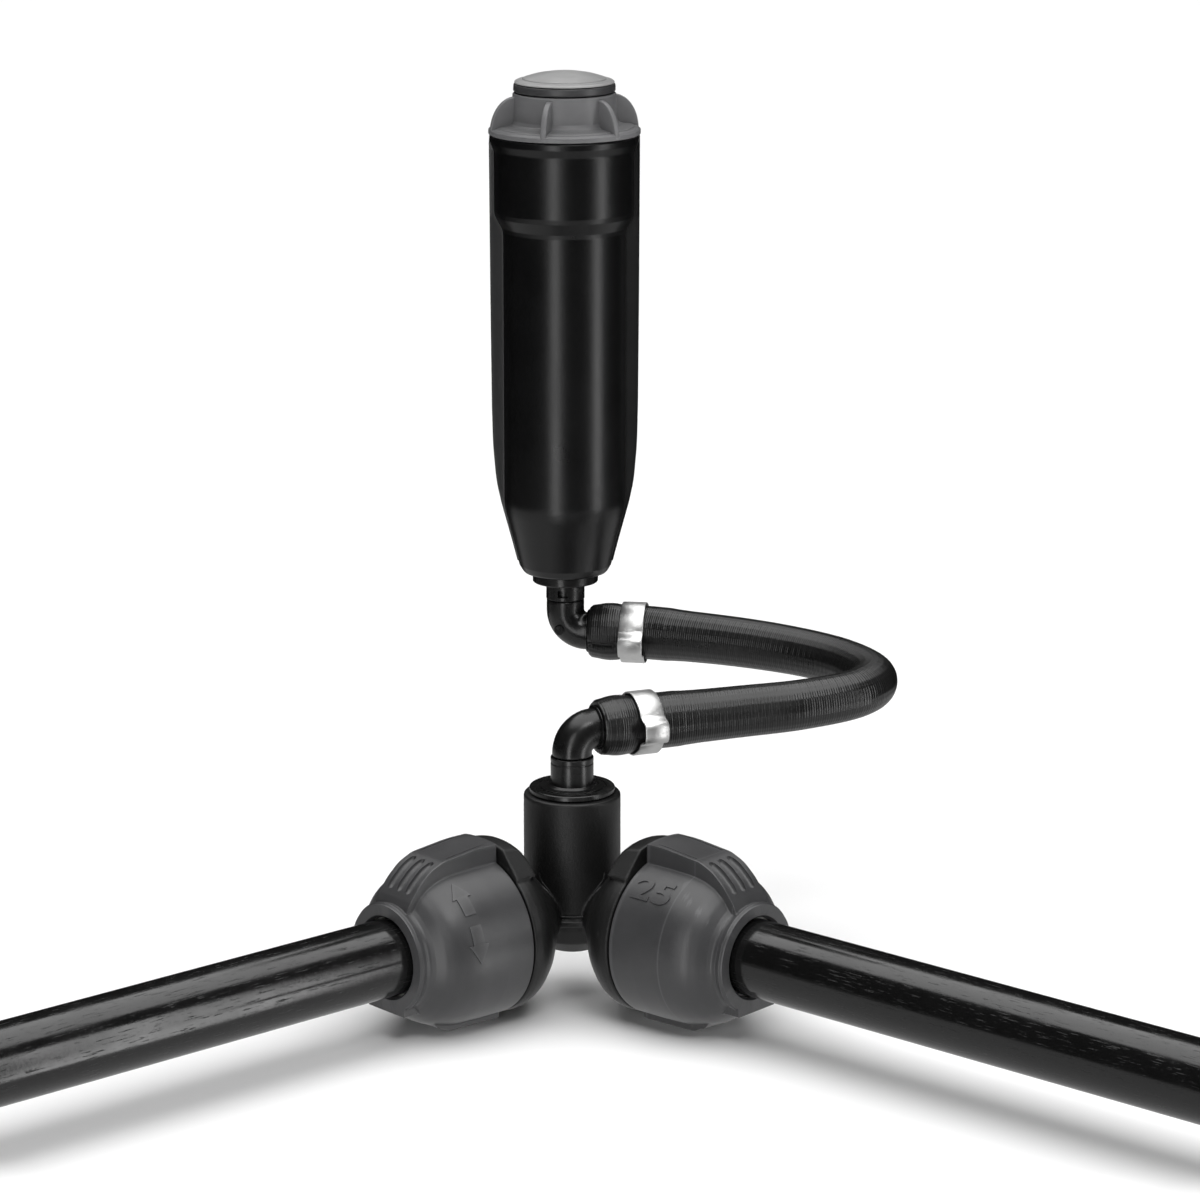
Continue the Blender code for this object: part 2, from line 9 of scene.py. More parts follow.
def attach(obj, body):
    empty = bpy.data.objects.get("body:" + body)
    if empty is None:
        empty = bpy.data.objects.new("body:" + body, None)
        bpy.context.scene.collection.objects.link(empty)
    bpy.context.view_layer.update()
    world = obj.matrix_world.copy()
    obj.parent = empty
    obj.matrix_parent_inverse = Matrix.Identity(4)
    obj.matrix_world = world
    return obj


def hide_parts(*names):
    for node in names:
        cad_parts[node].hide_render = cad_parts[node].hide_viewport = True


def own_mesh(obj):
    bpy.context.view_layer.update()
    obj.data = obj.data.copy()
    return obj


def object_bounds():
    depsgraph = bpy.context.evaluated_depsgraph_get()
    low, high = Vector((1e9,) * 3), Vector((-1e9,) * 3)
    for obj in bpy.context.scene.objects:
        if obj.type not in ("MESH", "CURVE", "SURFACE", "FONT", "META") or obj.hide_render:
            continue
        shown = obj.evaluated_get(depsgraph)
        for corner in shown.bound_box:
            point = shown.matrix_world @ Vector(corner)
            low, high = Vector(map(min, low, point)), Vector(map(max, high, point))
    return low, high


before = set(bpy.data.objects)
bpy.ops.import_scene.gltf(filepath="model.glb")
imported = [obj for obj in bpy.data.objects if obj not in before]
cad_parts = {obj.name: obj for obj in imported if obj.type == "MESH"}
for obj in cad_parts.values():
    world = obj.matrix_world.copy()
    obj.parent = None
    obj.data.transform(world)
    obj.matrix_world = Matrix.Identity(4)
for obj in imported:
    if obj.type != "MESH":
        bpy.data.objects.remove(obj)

CAD_BOX = [list(corner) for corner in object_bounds()]
MM = 0.001                           # all shapes below are given in millimetres
UP = Vector((0, 0, 1))
PIPE_ANGLE = math.radians(41.7)      # of both pipes, from the X axis towards the front
LEFT = Vector((-math.cos(PIPE_ANGLE), -math.sin(PIPE_ANGLE), 0))
RIGHT = Vector((math.cos(PIPE_ANGLE), -math.sin(PIPE_ANGLE), 0))
LOW_Z, UP_Z = 60.8, 69.2             # heights of the two hose ends
LOW_TURN, UP_TURN = math.radians(23.0), math.radians(-8.0)
LOW_DIR = Vector((math.cos(LOW_TURN), math.sin(LOW_TURN), 0))
UP_DIR = Vector((math.cos(UP_TURN), math.sin(UP_TURN), 0))
SPRINKLER = Vector((-2.9, 100.0, 0))  # axis of the case
scene = bpy.context.scene

# ------------------------------------------------------------------ camera
lens = bpy.data.cameras.new("camera")
lens.lens = 130.5
lens.sensor_width = 36.0
camera = bpy.data.objects.new("camera", lens)
camera.location = (0.0092, -1.3772, 0.4483)
camera.rotation_euler = (math.radians(76.0), 0, 0)
scene.collection.objects.link(camera)
scene.camera = camera


# --------------------------------------------------------------- materials
MIX_A, MIX_B, MIX_RESULT = 6, 7, 2   # colour sockets of a Mix node
COAT_ROUGH = 0.12
EDGE_FROM, EDGE_TO = 0.52, 0.62      # pointiness where an edge begins to show, and where it is worn
BUMP_DEPTH = 0.0001
SCRATCH_ROUGH = 0.35
TWIST, COURSES, STRANDS = 2.1, 12.5, 12   # of the braid under the hose's skin, per 10 mm and per turn
COURSE_DEPTH, YARN_DEPTH = 0.7, 0.45


def node(tree, kind, links=(), **values):
    """New shader node; values set its attributes or, where there is none, its input sockets."""
    made = tree.nodes.new(kind)
    for key, value in values.items():
        if hasattr(made, key):
            setattr(made, key, value)
        else:
            made.inputs[key.replace("_", " ")].default_value = value
    for source, socket in links:
        tree.links.new(source, made.inputs[socket])
    return made


def finish(name, tone, rough, specular=0.5, metallic=0.0, grain=(1500.0, 0.25), blotch=0.12,
           wear=0.5, scratch=None, coat=0.0, swing=0.08, knit=False, spin=0.0, streak=(1, 1, 1)):
    """Moulded or drawn surface: base tone with blotches, grain, scratches and light edges."""
    mat = bpy.data.materials.new(name)
    mat.use_nodes = True
    tree = mat.node_tree
    shader = tree.nodes["Principled BSDF"]
    shader.inputs["Metallic"].default_value = metallic
    shader.inputs["Specular IOR Level"].default_value = specular
    shader.inputs["Coat Weight"].default_value = coat
    shader.inputs["Coat Roughness"].default_value = COAT_ROUGH
    place = node(tree, "ShaderNodeTexCoord").outputs["Object"]
    cloud = node(tree, "ShaderNodeTexNoise", [(place, "Vector")], Scale=55.0, Detail=4.0,
                 Roughness=0.6)
    fine = node(tree, "ShaderNodeTexNoise", [(place, "Vector")], Scale=grain[0], Detail=3.0,
                Roughness=0.65)
    dark = tuple(c * (1 - blotch) for c in tone) + (1,)
    light = tuple(min(1.0, c * (1 + blotch)) for c in tone) + (1,)
    base = node(tree, "ShaderNodeValToRGB", [(cloud.outputs["Fac"], "Fac")])
    base.color_ramp.elements[0].position, base.color_ramp.elements[1].position = 0.3, 0.7
    base.color_ramp.elements[0].color, base.color_ramp.elements[1].color = dark, light
    colour = base.outputs["Color"]
    edge = node(tree, "ShaderNodeNewGeometry").outputs["Pointiness"]
    worn = node(tree, "ShaderNodeMapRange", [(edge, "Value")], From_Min=EDGE_FROM, From_Max=EDGE_TO,
                To_Min=0.0, To_Max=wear)
    patchy = node(tree, "ShaderNodeMath", [(worn.outputs[0], 0), (fine.outputs["Fac"], 1)],
                  operation="MULTIPLY")
    pale = node(tree, "ShaderNodeMix", [(patchy.outputs[0], 0), (colour, MIX_A)],
                data_type="RGBA")
    pale.inputs[MIX_B].default_value = tuple(min(1.0, c * 2.2 + 0.02) for c in tone) + (1,)
    colour = pale.outputs[MIX_RESULT]
    height = node(tree, "ShaderNodeMath", [(fine.outputs["Fac"], 0)], operation="MULTIPLY")
    height.inputs[1].default_value = grain[1]
    height = height.outputs[0]
    rough_map = node(tree, "ShaderNodeMapRange", [(cloud.outputs["Fac"], "Value")],
                     From_Min=0.25, From_Max=0.75, To_Min=max(0.02, rough - swing),
                     To_Max=rough + swing)
    rough_out = rough_map.outputs[0]
    if scratch:
        turned_place = node(tree, "ShaderNodeMapping", [(place, "Vector")])
        turned_place.inputs["Rotation"].default_value = (0, 0, spin)
        long_place = node(tree, "ShaderNodeMapping", [(turned_place.outputs[0], "Vector")])
        long_place.inputs["Scale"].default_value = streak
        lines = node(tree, "ShaderNodeTexNoise", [(long_place.outputs[0], "Vector")],
                     Scale=scratch[0], Detail=5.0, Roughness=0.7)
        cut = node(tree, "ShaderNodeMapRange", [(lines.outputs["Fac"], "Value")],
                   From_Min=scratch[2], From_Max=scratch[2] + 0.06, To_Min=0.0, To_Max=1.0)
        where = node(tree, "ShaderNodeMath", [(cut.outputs[0], 0), (cloud.outputs["Fac"], 1)],
                     operation="MULTIPLY")
        deep = node(tree, "ShaderNodeMath", [(where.outputs[0], 0), (height, 2)],
                    operation="MULTIPLY_ADD")
        deep.inputs[1].default_value = -scratch[1]
        height = deep.outputs[0]
        scuff = node(tree, "ShaderNodeMath", [(where.outputs[0], 0), (rough_out, 2)],
                     operation="MULTIPLY_ADD")
        scuff.inputs[1].default_value = SCRATCH_ROUGH
        rough_out = scuff.outputs[0]
    if knit:
        along = node(tree, "ShaderNodeUVMap", uv_map="route").outputs[0]
        split = node(tree, "ShaderNodeSeparateXYZ", [(along, "Vector")])
        waves = []
        for around, forward in ((STRANDS, TWIST), (STRANDS, -TWIST), (1, COURSES)):
            u = node(tree, "ShaderNodeMath", [(split.outputs[0], 0)], operation="MULTIPLY")
            u.inputs[1].default_value = 2 * math.pi * around
            v = node(tree, "ShaderNodeMath", [(split.outputs[1], 0), (u.outputs[0], 2)],
                     operation="MULTIPLY_ADD")
            v.inputs[1].default_value = 2 * math.pi * forward
            waves.append(node(tree, "ShaderNodeMath", [(v.outputs[0], 0)],
                              operation="SINE").outputs[0])
        braid = node(tree, "ShaderNodeMath", [(waves[0], 0), (waves[1], 1)],
                     operation="MULTIPLY")
        both = node(tree, "ShaderNodeMath", [(waves[2], 0), (braid.outputs[0], 2)],
                    operation="MULTIPLY_ADD")
        both.inputs[1].default_value = COURSE_DEPTH
        yarn = node(tree, "ShaderNodeMath", [(both.outputs[0], 0), (height, 2)],
                    operation="MULTIPLY_ADD")
        yarn.inputs[1].default_value = YARN_DEPTH
        height = yarn.outputs[0]
    bump = node(tree, "ShaderNodeBump", [(height, "Height")], Strength=1.0,
                Distance=BUMP_DEPTH)
    tree.links.new(colour, shader.inputs["Base Color"])
    tree.links.new(rough_out, shader.inputs["Roughness"])
    tree.links.new(bump.outputs[0], shader.inputs["Normal"])
    return mat


STREAK = (0.06, 1, 1)                # stretches scratches along a pipe
ANTHRACITE = finish("anthracite", (0.036, 0.036, 0.0375), 0.38, 0.5, grain=(2600, 0.3),
                    wear=0.7, swing=0.04)
CAP_GREY = finish("cap_anthracite", (0.12, 0.12, 0.123), 0.42, 0.4, grain=(2600, 0.3),
                  wear=0.7)
COVER = finish("cover_rubber", (0.27, 0.27, 0.27), 0.42, 0.4, grain=(2200, 0.35), wear=0.4)
SATIN = finish("satin_black", (0.003, 0.003, 0.0032), 0.3, 0.42, grain=(3000, 0.25),
               wear=0.15, swing=0.03)
GRAINED = finish("grained_black", (0.006, 0.006, 0.006), 0.45, 0.35, grain=(2400, 0.8),
                 wear=0.6)
GLOSS = finish("gloss_black", (0.005, 0.005, 0.005), 0.27, 0.45, grain=(900, 0.25), wear=0.3,
               scratch=(700, 0.4, 0.66))
PIPE_L = finish("pipe_black_left", (0.005, 0.005, 0.005), 0.17, 0.5, grain=(700, 0.16),
                wear=0.2, scratch=(2200, 0.5, 0.6), spin=-math.pi - PIPE_ANGLE, streak=STREAK)
PIPE_R = finish("pipe_black_right", (0.004, 0.004, 0.004), 0.15, 0.5, grain=(600, 0.12),
                wear=0.2, scratch=(2200, 0.45, 0.6), spin=PIPE_ANGLE, streak=STREAK)
HOSE = finish("hose_rubber", (0.006, 0.006, 0.006), 0.32, 0.5, grain=(1300, 0.2), wear=0.2,
              scratch=(900, 0.35, 0.64), knit=True)
SILVER = finish("clamp_silver", (0.62, 0.62, 0.615), 0.42, 0.5, metallic=1.0, grain=(900, 0.3),
                blotch=0.1, wear=0.1, scratch=(2600, 0.5, 0.58), streak=(0.3, 0.3, 1))
SEAL = finish("seal_rubber", (0.012, 0.012, 0.012), 0.6, 0.4, grain=(1800, 0.5))
ACETAL = finish("white_acetal", (0.72, 0.72, 0.69), 0.4, 0.5, grain=(1500, 0.2), blotch=0.05,
                wear=0.1)
STEEL = finish("spring_steel", (0.55, 0.55, 0.56), 0.28, 0.5, metallic=1.0,
               grain=(1200, 0.25), blotch=0.08, wear=0.1, scratch=(1800, 0.4, 0.6),
               streak=(1, 1, 0.1))


# ------------------------------------------------------------ mesh helpers
def at(origin, axis, up=None):
    """Matrix that takes local Z to axis and local X to up, with its origin in millimetres."""
    z = axis.normalized()
    x = (up or (UP if abs(z.z) < 0.9 else Vector((1, 0, 0)))).normalized()
    y = z.cross(x).normalized()
    x = y.cross(z)
    mat = Matrix((x, y, z)).transposed().to_4x4()
    mat.translation = Vector(origin) * MM
    return mat


AT_TEE = at((0, 0, 0), UP)
AT_SPRINKLER = at(SPRINKLER, UP)
TURN_Y = Matrix.Rotation(math.radians(90), 4, "X")


def solid(name, verts, faces, matrix=Matrix(), uvs=None):
    """Mesh object from millimetre points in a local frame; its place ends up in its mesh."""
    mesh = bpy.data.meshes.new(name)
    bm = bmesh.new()
    made = [bm.verts.new(matrix @ (Vector(v) * MM)) for v in verts]
    layer = bm.loops.layers.uv.new("route") if uvs else None
    for k, face in enumerate(faces):
        try:
            new = bm.faces.new([made[i] for i in face])
        except ValueError:
            continue
        if uvs:
            for loop, uv in zip(new.loops, uvs[k]):
                loop[layer].uv = uv
    bmesh.ops.remove_doubles(bm, verts=bm.verts, dist=1e-6)
    bmesh.ops.recalc_face_normals(bm, faces=bm.faces)
    bm.to_mesh(mesh)
    bm.free()
    obj = bpy.data.objects.new(name, mesh)
    scene.collection.objects.link(obj)
    return obj


def grid(name, rows, matrix=Matrix(), wrap=False, uvs=None):
    """Closed loops of equal length, skinned in order; wrap joins the last to the first."""
    count = len(rows[0])
    verts = [v for row in rows for v in row]
    faces, marks = [], []
    for i in range(len(rows) if wrap else len(rows) - 1):
        j = (i + 1) % len(rows)
        for k in range(count):
            m = (k + 1) % count
            faces.append((i * count + k, i * count + m, j * count + m, j * count + k))
            if uvs:
                u0, u1 = k / count, (k + 1) / count
                marks.append(((u0, uvs[i]), (u1, uvs[i]), (u1, uvs[j]), (u0, uvs[j])))
    if not wrap:
        for row, base in ((rows[0], 0), (rows[-1], (len(rows) - 1) * count)):
            if (row[0] - row[count // 2]).length > 0.01:
                faces.append(tuple(base + k for k in range(count)))
                marks.append(((0, 0),) * count)
    return solid(name, verts, faces, matrix, marks if uvs else None)


def soften(points, radius=0.4, bits=4, closed=True):
    """Profile with rounded corners; a third value in a point is that corner's own radius."""
    out = []
    total = len(points)
    for i, point in enumerate(points):
        here = Vector(point[:2])
        size = point[2] if len(point) > 2 else radius
        if size == 0 or (not closed and i in (0, total - 1)):
            out.append(here)
            continue
        a = Vector(points[i - 1][:2]) - here
        b = Vector(points[(i + 1) % total][:2]) - here
        turn = math.pi - a.angle(b)
        if turn < 0.03:
            out.append(here)
            continue
        reach = min(size * math.tan(turn / 2), 0.44 * a.length, 0.44 * b.length)
        start, end = here + a.normalized() * reach, here + b.normalized() * reach
        if a.length > 3 * reach:
            out.append(here + a.normalized() * reach * 1.4)
        for k in range(bits + 1):
            t = k / bits
            out.append(start * (1 - t) ** 2 + here * 2 * t * (1 - t) + end * t * t)
        if b.length > 3 * reach:
            out.append(here + b.normalized() * reach * 1.4)
    return out


def lathe(name, profile, matrix=AT_TEE, radius=0.4, steps=96, bits=4):
    """Profile of (radius, height) turned about local Z, with its corners rounded."""
    closed = profile[0][0] > 0
    rows = []
    for r, z in soften(profile, radius, bits, closed):
        rows.append([Vector((r * math.cos(2 * math.pi * k / steps),
                             r * math.sin(2 * math.pi * k / steps), z)) for k in range(steps)])
    return grid(name, rows, matrix, wrap=closed)


def tube(name, path, radii, sides=40, matrix=Matrix(), uvs=None, shape=None):
    """Round tube along a path of points; shape(k, angle) may change its radius."""
    rows = []
    side = (path[1] - path[0]).orthogonal().normalized()
    for k, point in enumerate(path):
        ahead = path[min(k + 1, len(path) - 1)] - path[max(k - 1, 0)]
        ahead.normalize()
        side = (side - ahead * side.dot(ahead)).normalized()
        other = ahead.cross(side)
        row = []
        for j in range(sides):
            a = 2 * math.pi * j / sides
            r = radii[k] * (shape(k, side * math.cos(a) + other * math.sin(a)) if shape else 1)
            row.append(point + (side * math.cos(a) + other * math.sin(a)) * r)
        rows.append(row)
    return grid(name, rows, matrix, uvs=uvs)


def block(name, low, high, matrix=Matrix(), bevel=0.0):
    """Box between two corners in a local frame, with broken edges."""
    low, high = Vector(low), Vector(high)
    bm = bmesh.new()
    bmesh.ops.create_cube(bm, size=1)
    bmesh.ops.scale(bm, vec=(high - low) * MM, verts=bm.verts)
    bmesh.ops.translate(bm, vec=(low + high) / 2 * MM, verts=bm.verts)
    if bevel:
        bmesh.ops.bevel(bm, geom=bm.edges[:], offset=bevel * MM, segments=3, affect="EDGES",
                        profile=0.5)
    bm.transform(matrix)
    mesh = bpy.data.meshes.new(name)
    bm.to_mesh(mesh)
    bm.free()
    obj = bpy.data.objects.new(name, mesh)
    scene.collection.objects.link(obj)
    return obj


def bake(obj):
    """Modifiers of obj applied to its mesh."""
    bpy.context.view_layer.update()
    graph = bpy.context.evaluated_depsgraph_get()
    mesh = bpy.data.meshes.new_from_object(obj.evaluated_get(graph))
    obj.modifiers.clear()
    obj.data = mesh


def combine(obj, operation, *others):
    """Boolean of obj with each other solid in turn; the others are used up."""
    for other in others:
        mod = obj.modifiers.new("b", "BOOLEAN")
        mod.operation = operation
        mod.solver = "MANIFOLD"
        mod.object = other
        bake(obj)
        bpy.data.objects.remove(other, do_unlink=True)
    return obj


def melt(obj, voxel, rounds, factor=0.5):
    """Solid rebuilt on an even grid and relaxed, which leaves moulded fillets at its corners."""
    mod = obj.modifiers.new("r", "REMESH")
    mod.mode = "VOXEL"
    mod.voxel_size = voxel * MM
    bake(obj)
    mod = obj.modifiers.new("s", "SMOOTH")
    mod.factor = factor
    mod.iterations = rounds
    bake(obj)
    return obj


def piece(obj, body, mat, nodes=(), sharp=35.0, weighted=True):
    """Finished piece: material, shading, the body it rides on and the CAD nodes it replaces."""
    obj.data.materials.clear()
    obj.data.materials.append(mat)
    obj.data.shade_smooth()
    obj.data.set_sharp_from_angle(angle=math.radians(sharp))
    if weighted:
        mod = obj.modifiers.new("normals", "WEIGHTED_NORMAL")
        mod.keep_sharp = True
        mod.weight = 80
    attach(obj, body)
    if nodes:
        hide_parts(*nodes)
    return obj


def span(points, x):
    """Value at x on a polyline of (x, value) that rises in x."""
    if x <= points[0][0]:
        return points[0][1]
    for (x0, y0), (x1, y1) in zip(points, points[1:]):
        if x <= x1:
            return y0 if x1 - x0 < 1e-9 else y0 + (y1 - y0) * (x - x0) / (x1 - x0)
    return points[-1][1]


def top_of(a, b, k):
    """Larger of a and b, with a fillet of size k where they meet."""
    h = max(k - abs(a - b), 0.0) / k
    return max(a, b) + h * h * k * 0.25


def least_of(a, b, k):
    """Smaller of a and b, with a round of size k where they meet."""
    return -top_of(-a, -b, k)


# ---------------------------------------------------------------- hose route
def smooth_path(knots, count):
    """Smooth curve through knots, resampled at count points of even spacing."""
    dense = []
    for k in range(len(knots) - 1):
        p0, p1, p2 = knots[max(k - 1, 0)], knots[k], knots[k + 1]
        p3 = knots[min(k + 2, len(knots) - 1)]
        for j in range(24):
            t = j / 24
            dense.append(0.5 * ((2 * p1) + (p2 - p0) * t + (2 * p0 - 5 * p1 + 4 * p2 - p3)
                                * t ** 2 + (3 * p1 - p0 - 3 * p2 + p3) * t ** 3))
    dense.append(knots[-1])
    lengths = [0.0]
    for a, b in zip(dense, dense[1:]):
        lengths.append(lengths[-1] + (b - a).length)
    points, j = [], 0
    for k in range(count):
        want = lengths[-1] * k / (count - 1)
        while j < len(dense) - 2 and lengths[j + 1] < want:
            j += 1
        share = (want - lengths[j]) / (lengths[j + 1] - lengths[j])
        points.append(dense[j].lerp(dense[j + 1], share))
    return points, lengths[-1]


HOSE_BORE = 6.5
HOSE_POINTS, HOSE_SIDES = 241, 72
SLIT_ANGLE, SLIT_WIDTH, SLIT_DEPTH = 22.0, 8.0, 0.22   # degrees, degrees, share of the radius
SLIT_FROM, SLIT_TO = 0.8, 11.0
HOSE_KNOTS = [SPRINKLER + UP * UP_Z + UP_DIR * s for s in (8.8, 20.0, 31.0)]
HOSE_KNOTS += [Vector(p) for p in (
    (56.0, 84.5, 69.0), (77.5, 73.5, 68.3), (93.0, 61.0, 67.4), (101.5, 44.0, 66.4),
    (95.0, 29.5, 65.3), (76.5, 21.0, 63.8), (55.5, 17.6, 62.3))]
HOSE_KNOTS += [UP * LOW_Z + LOW_DIR * s for s in (31.0, 20.0, 8.8)]
ROUTE, HOSE_LENGTH = smooth_path(HOSE_KNOTS, HOSE_POINTS)
HOSE_WALL = [(0, 8.4), (0.3, 8.9), (1.0, 9.2), (3, 9.5), (5, 9.9), (7, 10.05), (9, 9.95),
             (11, 9.65), (12, 9.4), (19.8, 9.35), (28.0, 9.3), (31.0, 9.05), (36.0, 8.85),
             (46.0, 8.7), (60.0, 8.55), (75.0, 8.35), (90.0, 8.2), (400, 8.2)]


def hose_shape(k, out):
    """Lengthwise slit in the collar at the upper end, low on the side that faces the front."""
    s = k * HOSE_LENGTH / (len(ROUTE) - 1)
    if not SLIT_FROM < s < SLIT_TO:
        return 1.0
    angle = math.degrees(math.atan2(-out.z, -out.y))
    return 1.0 - (SLIT_DEPTH * math.exp(-((angle - SLIT_ANGLE) / SLIT_WIDTH) ** 4)
                  * min(1.0, (SLIT_TO - s) / 1.5))


def hose_mesh():
    """Outer skin, then back along the bore, as one closed surface."""
    rows, marks = [], []
    side = UP.copy()
    frames = []
    step = HOSE_LENGTH / (len(ROUTE) - 1)
    for k, point in enumerate(ROUTE):
        ahead = (ROUTE[min(k + 1, len(ROUTE) - 1)] - ROUTE[max(k - 1, 0)]).normalized()
        side = (side - ahead * side.dot(ahead)).normalized()
        frames.append((point, side.copy(), ahead.cross(side)))
    for inside in (False, True):
        order = range(len(ROUTE)) if not inside else range(len(ROUTE) - 1, -1, -4)
        for k in order:
            point, a_dir, b_dir = frames[k]
            wall = span(HOSE_WALL, min(k, len(ROUTE) - 1 - k) * step)
            row = []
            for j in range(HOSE_SIDES):
                a = 2 * math.pi * j / HOSE_SIDES
                out = a_dir * math.cos(a) + b_dir * math.sin(a)
                r = HOSE_BORE if inside else wall * hose_shape(k, out)
                row.append(point + out * r)
            rows.append(row)
            marks.append(k * step / 10)
    return grid("swing_hose_skin", rows, Matrix(), wrap=True, uvs=marks)


hose = piece(hose_mesh(), "swing", HOSE, ["swing_hose"], sharp=50, weighted=False)


# ---------------------------------------------------------------- hose clamps
BAND_RADIUS, EAR_HALF = 10.33, 4.0
EAR_GAP = 0.08                       # angle between the band's arc and the foot of the ear


def clamp(name, origin, out, low, ear_turn, node_name):
    """Sheet band with a pinched ear, its edges rounded."""
    matrix = at(origin, out)
    ear = math.radians(ear_turn)
    half = EAR_HALF / BAND_RADIUS
    path = []
    for k in range(84):
        a = ear + half + EAR_GAP + (2 * math.pi - 2 * half - 2 * EAR_GAP) * k / 83
        path.append(Vector((BAND_RADIUS * math.cos(a), BAND_RADIUS * math.sin(a))))
    centre = Vector((math.cos(ear), math.sin(ear)))
    across = Vector((-math.sin(ear), math.cos(ear)))
    arch = [(EAR_HALF, 0.2), (3.7, 0.9), (3.55, 1.8), (3.2, 2.6), (2.4, 3.2), (1.2, 3.45)]
    loop = [(-w, h) for w, h in arch] + [(0, 3.5)] + arch[::-1]
    path += [centre * (BAND_RADIUS - 0.15 + h) + across * w for w, h in loop]
    count = len(path)
    rim = [(-0.35, 0.25), (-0.35, 8.15), (-0.15, 8.4), (0.15, 8.4), (0.35, 8.15),
           (0.35, 0.25), (0.15, 0.0), (-0.15, 0.0)]
    rows = []
    for k, p in enumerate(path):
        run = (path[(k + 1) % count] - path[k - 1]).normalized()
        normal = Vector((run.y, -run.x))
        rows.append([Vector((*(p + normal * n), low + z)) for n, z in rim])
    made = grid(name, rows, matrix, wrap=True)
    return piece(made, "swing", SILVER, [node_name], sharp=40, weighted=False)


clamp("upper_clamp_band", SPRINKLER + UP * UP_Z, UP_DIR, 20.2, 102, "upper_hose_clamp")
clamp("lower_clamp_band", UP * LOW_Z, LOW_DIR, 20.6, 92, "lower_hose_clamp")


# ---------------------------------------------------------------- elbows
ELBOW_RADIUS, ELBOW_BEND, STUB_RADIUS, ELBOW_BORE = 6.55, 7.5, 5.1, 3.3


def elbow(name, base, height, out, stub_end, sign, node_name):
    """Swivel stub, tight bend, raised bead and barbed tail, hollow all through."""
    base = Vector(base)
    shoulder = 52.3 if sign > 0 else 80.6
    groove = stub_end + sign * (9.6 if sign > 0 else 7.2)
    line = [(stub_end, 4.7), (stub_end + sign * 0.5, STUB_RADIUS), (groove, STUB_RADIUS),
            (groove + sign * 0.05, 3.9), (groove + sign * 1.95, 3.9),
            (groove + sign * 2.0, STUB_RADIUS), (shoulder - sign * 0.05, STUB_RADIUS),
            (shoulder, 6.2), (shoulder + sign * 0.15, 6.45),
            (shoulder + sign * 0.4, ELBOW_RADIUS)]
    bend = height - sign * ELBOW_BEND
    path = [base + UP * z for z, _ in line]
    sizes = [r for _, r in line]
    span_z = bend - sign * 0.6 - line[-1][0]
    if abs(span_z) > 0.1:
        path += [base + UP * (line[-1][0] + span_z * t) for t in (0.4, 1.0)]
        sizes += [ELBOW_RADIUS, ELBOW_RADIUS]
    corner = len(path)
    for k in range(21):
        a = math.radians(90) * k / 20
        path.append(base + UP * height + out * ELBOW_BEND * (1 - math.cos(a))
                    + UP * sign * ELBOW_BEND * (math.sin(a) - 1))
        sizes.append(ELBOW_RADIUS)
    tail = [(7.7, ELBOW_RADIUS), (7.9, 7.3), (8.1, 7.5), (8.35, 7.5), (8.55, 7.3), (8.65, 5.4),
            (12.0, 5.5), (15.0, 6.05), (15.1, 5.4), (18.6, 6.05), (18.7, 5.4), (22.2, 6.05),
            (22.3, 5.4), (27.6, 5.9), (29.2, 5.4), (29.4, 5.1)]
    path += [base + UP * height + out * s for s, _ in tail]
    sizes += [r for _, r in tail]
    body = tube(name, path, sizes, 56)
    hole = [base + UP * (stub_end - sign * 2.0), base + UP * (bend - sign * 0.5)]
    hole += path[corner:corner + 21] + [base + UP * height + out * 32.0]
    combine(body, "DIFFERENCE", tube("hole", hole, [ELBOW_BORE] * len(hole), 32))
    return piece(body, "swing", GLOSS, [node_name], sharp=38)


elbow("lower_elbow_body", (0, 0, 0), LOW_Z, LOW_DIR, 23.4, 1, "lower_elbow")
elbow("upper_elbow_body", SPRINKLER, UP_Z, UP_DIR, 102.2, -1, "upper_elbow")
mark_at = at(SPRINKLER + UP * 70.6 + Vector((-2.2, 0, 0)), Vector((0.0, -1, 0)))
piece(lathe("mould_mark", [(0, 7.15), (1.0, 7.15), (1.15, 6.9), (1.6, 6.9), (1.75, 5.4),
                           (0, 5.4)], mark_at, 0.1, 32), "swing", GLOSS)

# ---------------------------------------------------------------- nipples
piece(lathe("lower_nipple_body", [
    (5.5, 52.0), (7.1, 52.0), (7.1, 50.4, 0.15), (6.85, 50.3, 0.1), (6.85, 49.9, 0.1),
    (7.1, 49.8, 0.15), (7.1, 42.9), (7.9, 42.2), (10.6, 42.2, 0.1), (10.6, 41.8, 0.1),
    (11.4, 41.8, 0.1), (11.4, 42.0, 0.1), (13.8, 42.0), (14.1, 41.7), (14.1, 40.3),
    (12.9, 40.3), (12.9, 24.0), (12.2, 23.0), (5.5, 23.0)], AT_TEE, 0.25),
    "supply", GLOSS, ["lower_nipple"])
upper = lathe("upper_nipple_body", [
    (5.4, 102.6), (9.6, 102.6), (10.2, 101.8), (10.2, 90.0), (11.4, 90.0), (11.4, 87.3),
    (11.1, 87.0), (7.6, 87.0), (6.7, 86.2, 0.6), (6.7, 80.9), (5.4, 80.9)], AT_SPRINKLER, 0.2)
combine(upper, "DIFFERENCE", block("c", (-2.6, -8.0, 82.2), (0.8, -4.0, 84.8), AT_SPRINKLER))
piece(upper, "sprinkler", GLOSS, ["upper_nipple"])

# ---------------------------------------------------------------- corner tee
HOOD_FROM = 21.0                     # height at which the raised half rings behind the pads end
HOOD_SIDE, HOOD_SLOPE = 26.9, 0.85   # their flat sides: distance from the pipe's axis, and turn
EDGE_RADIUS, EDGE_AT = 0.32, 15.95   # of the moulded edges, and the socket radius they lie on
BAR_STEPS = 30
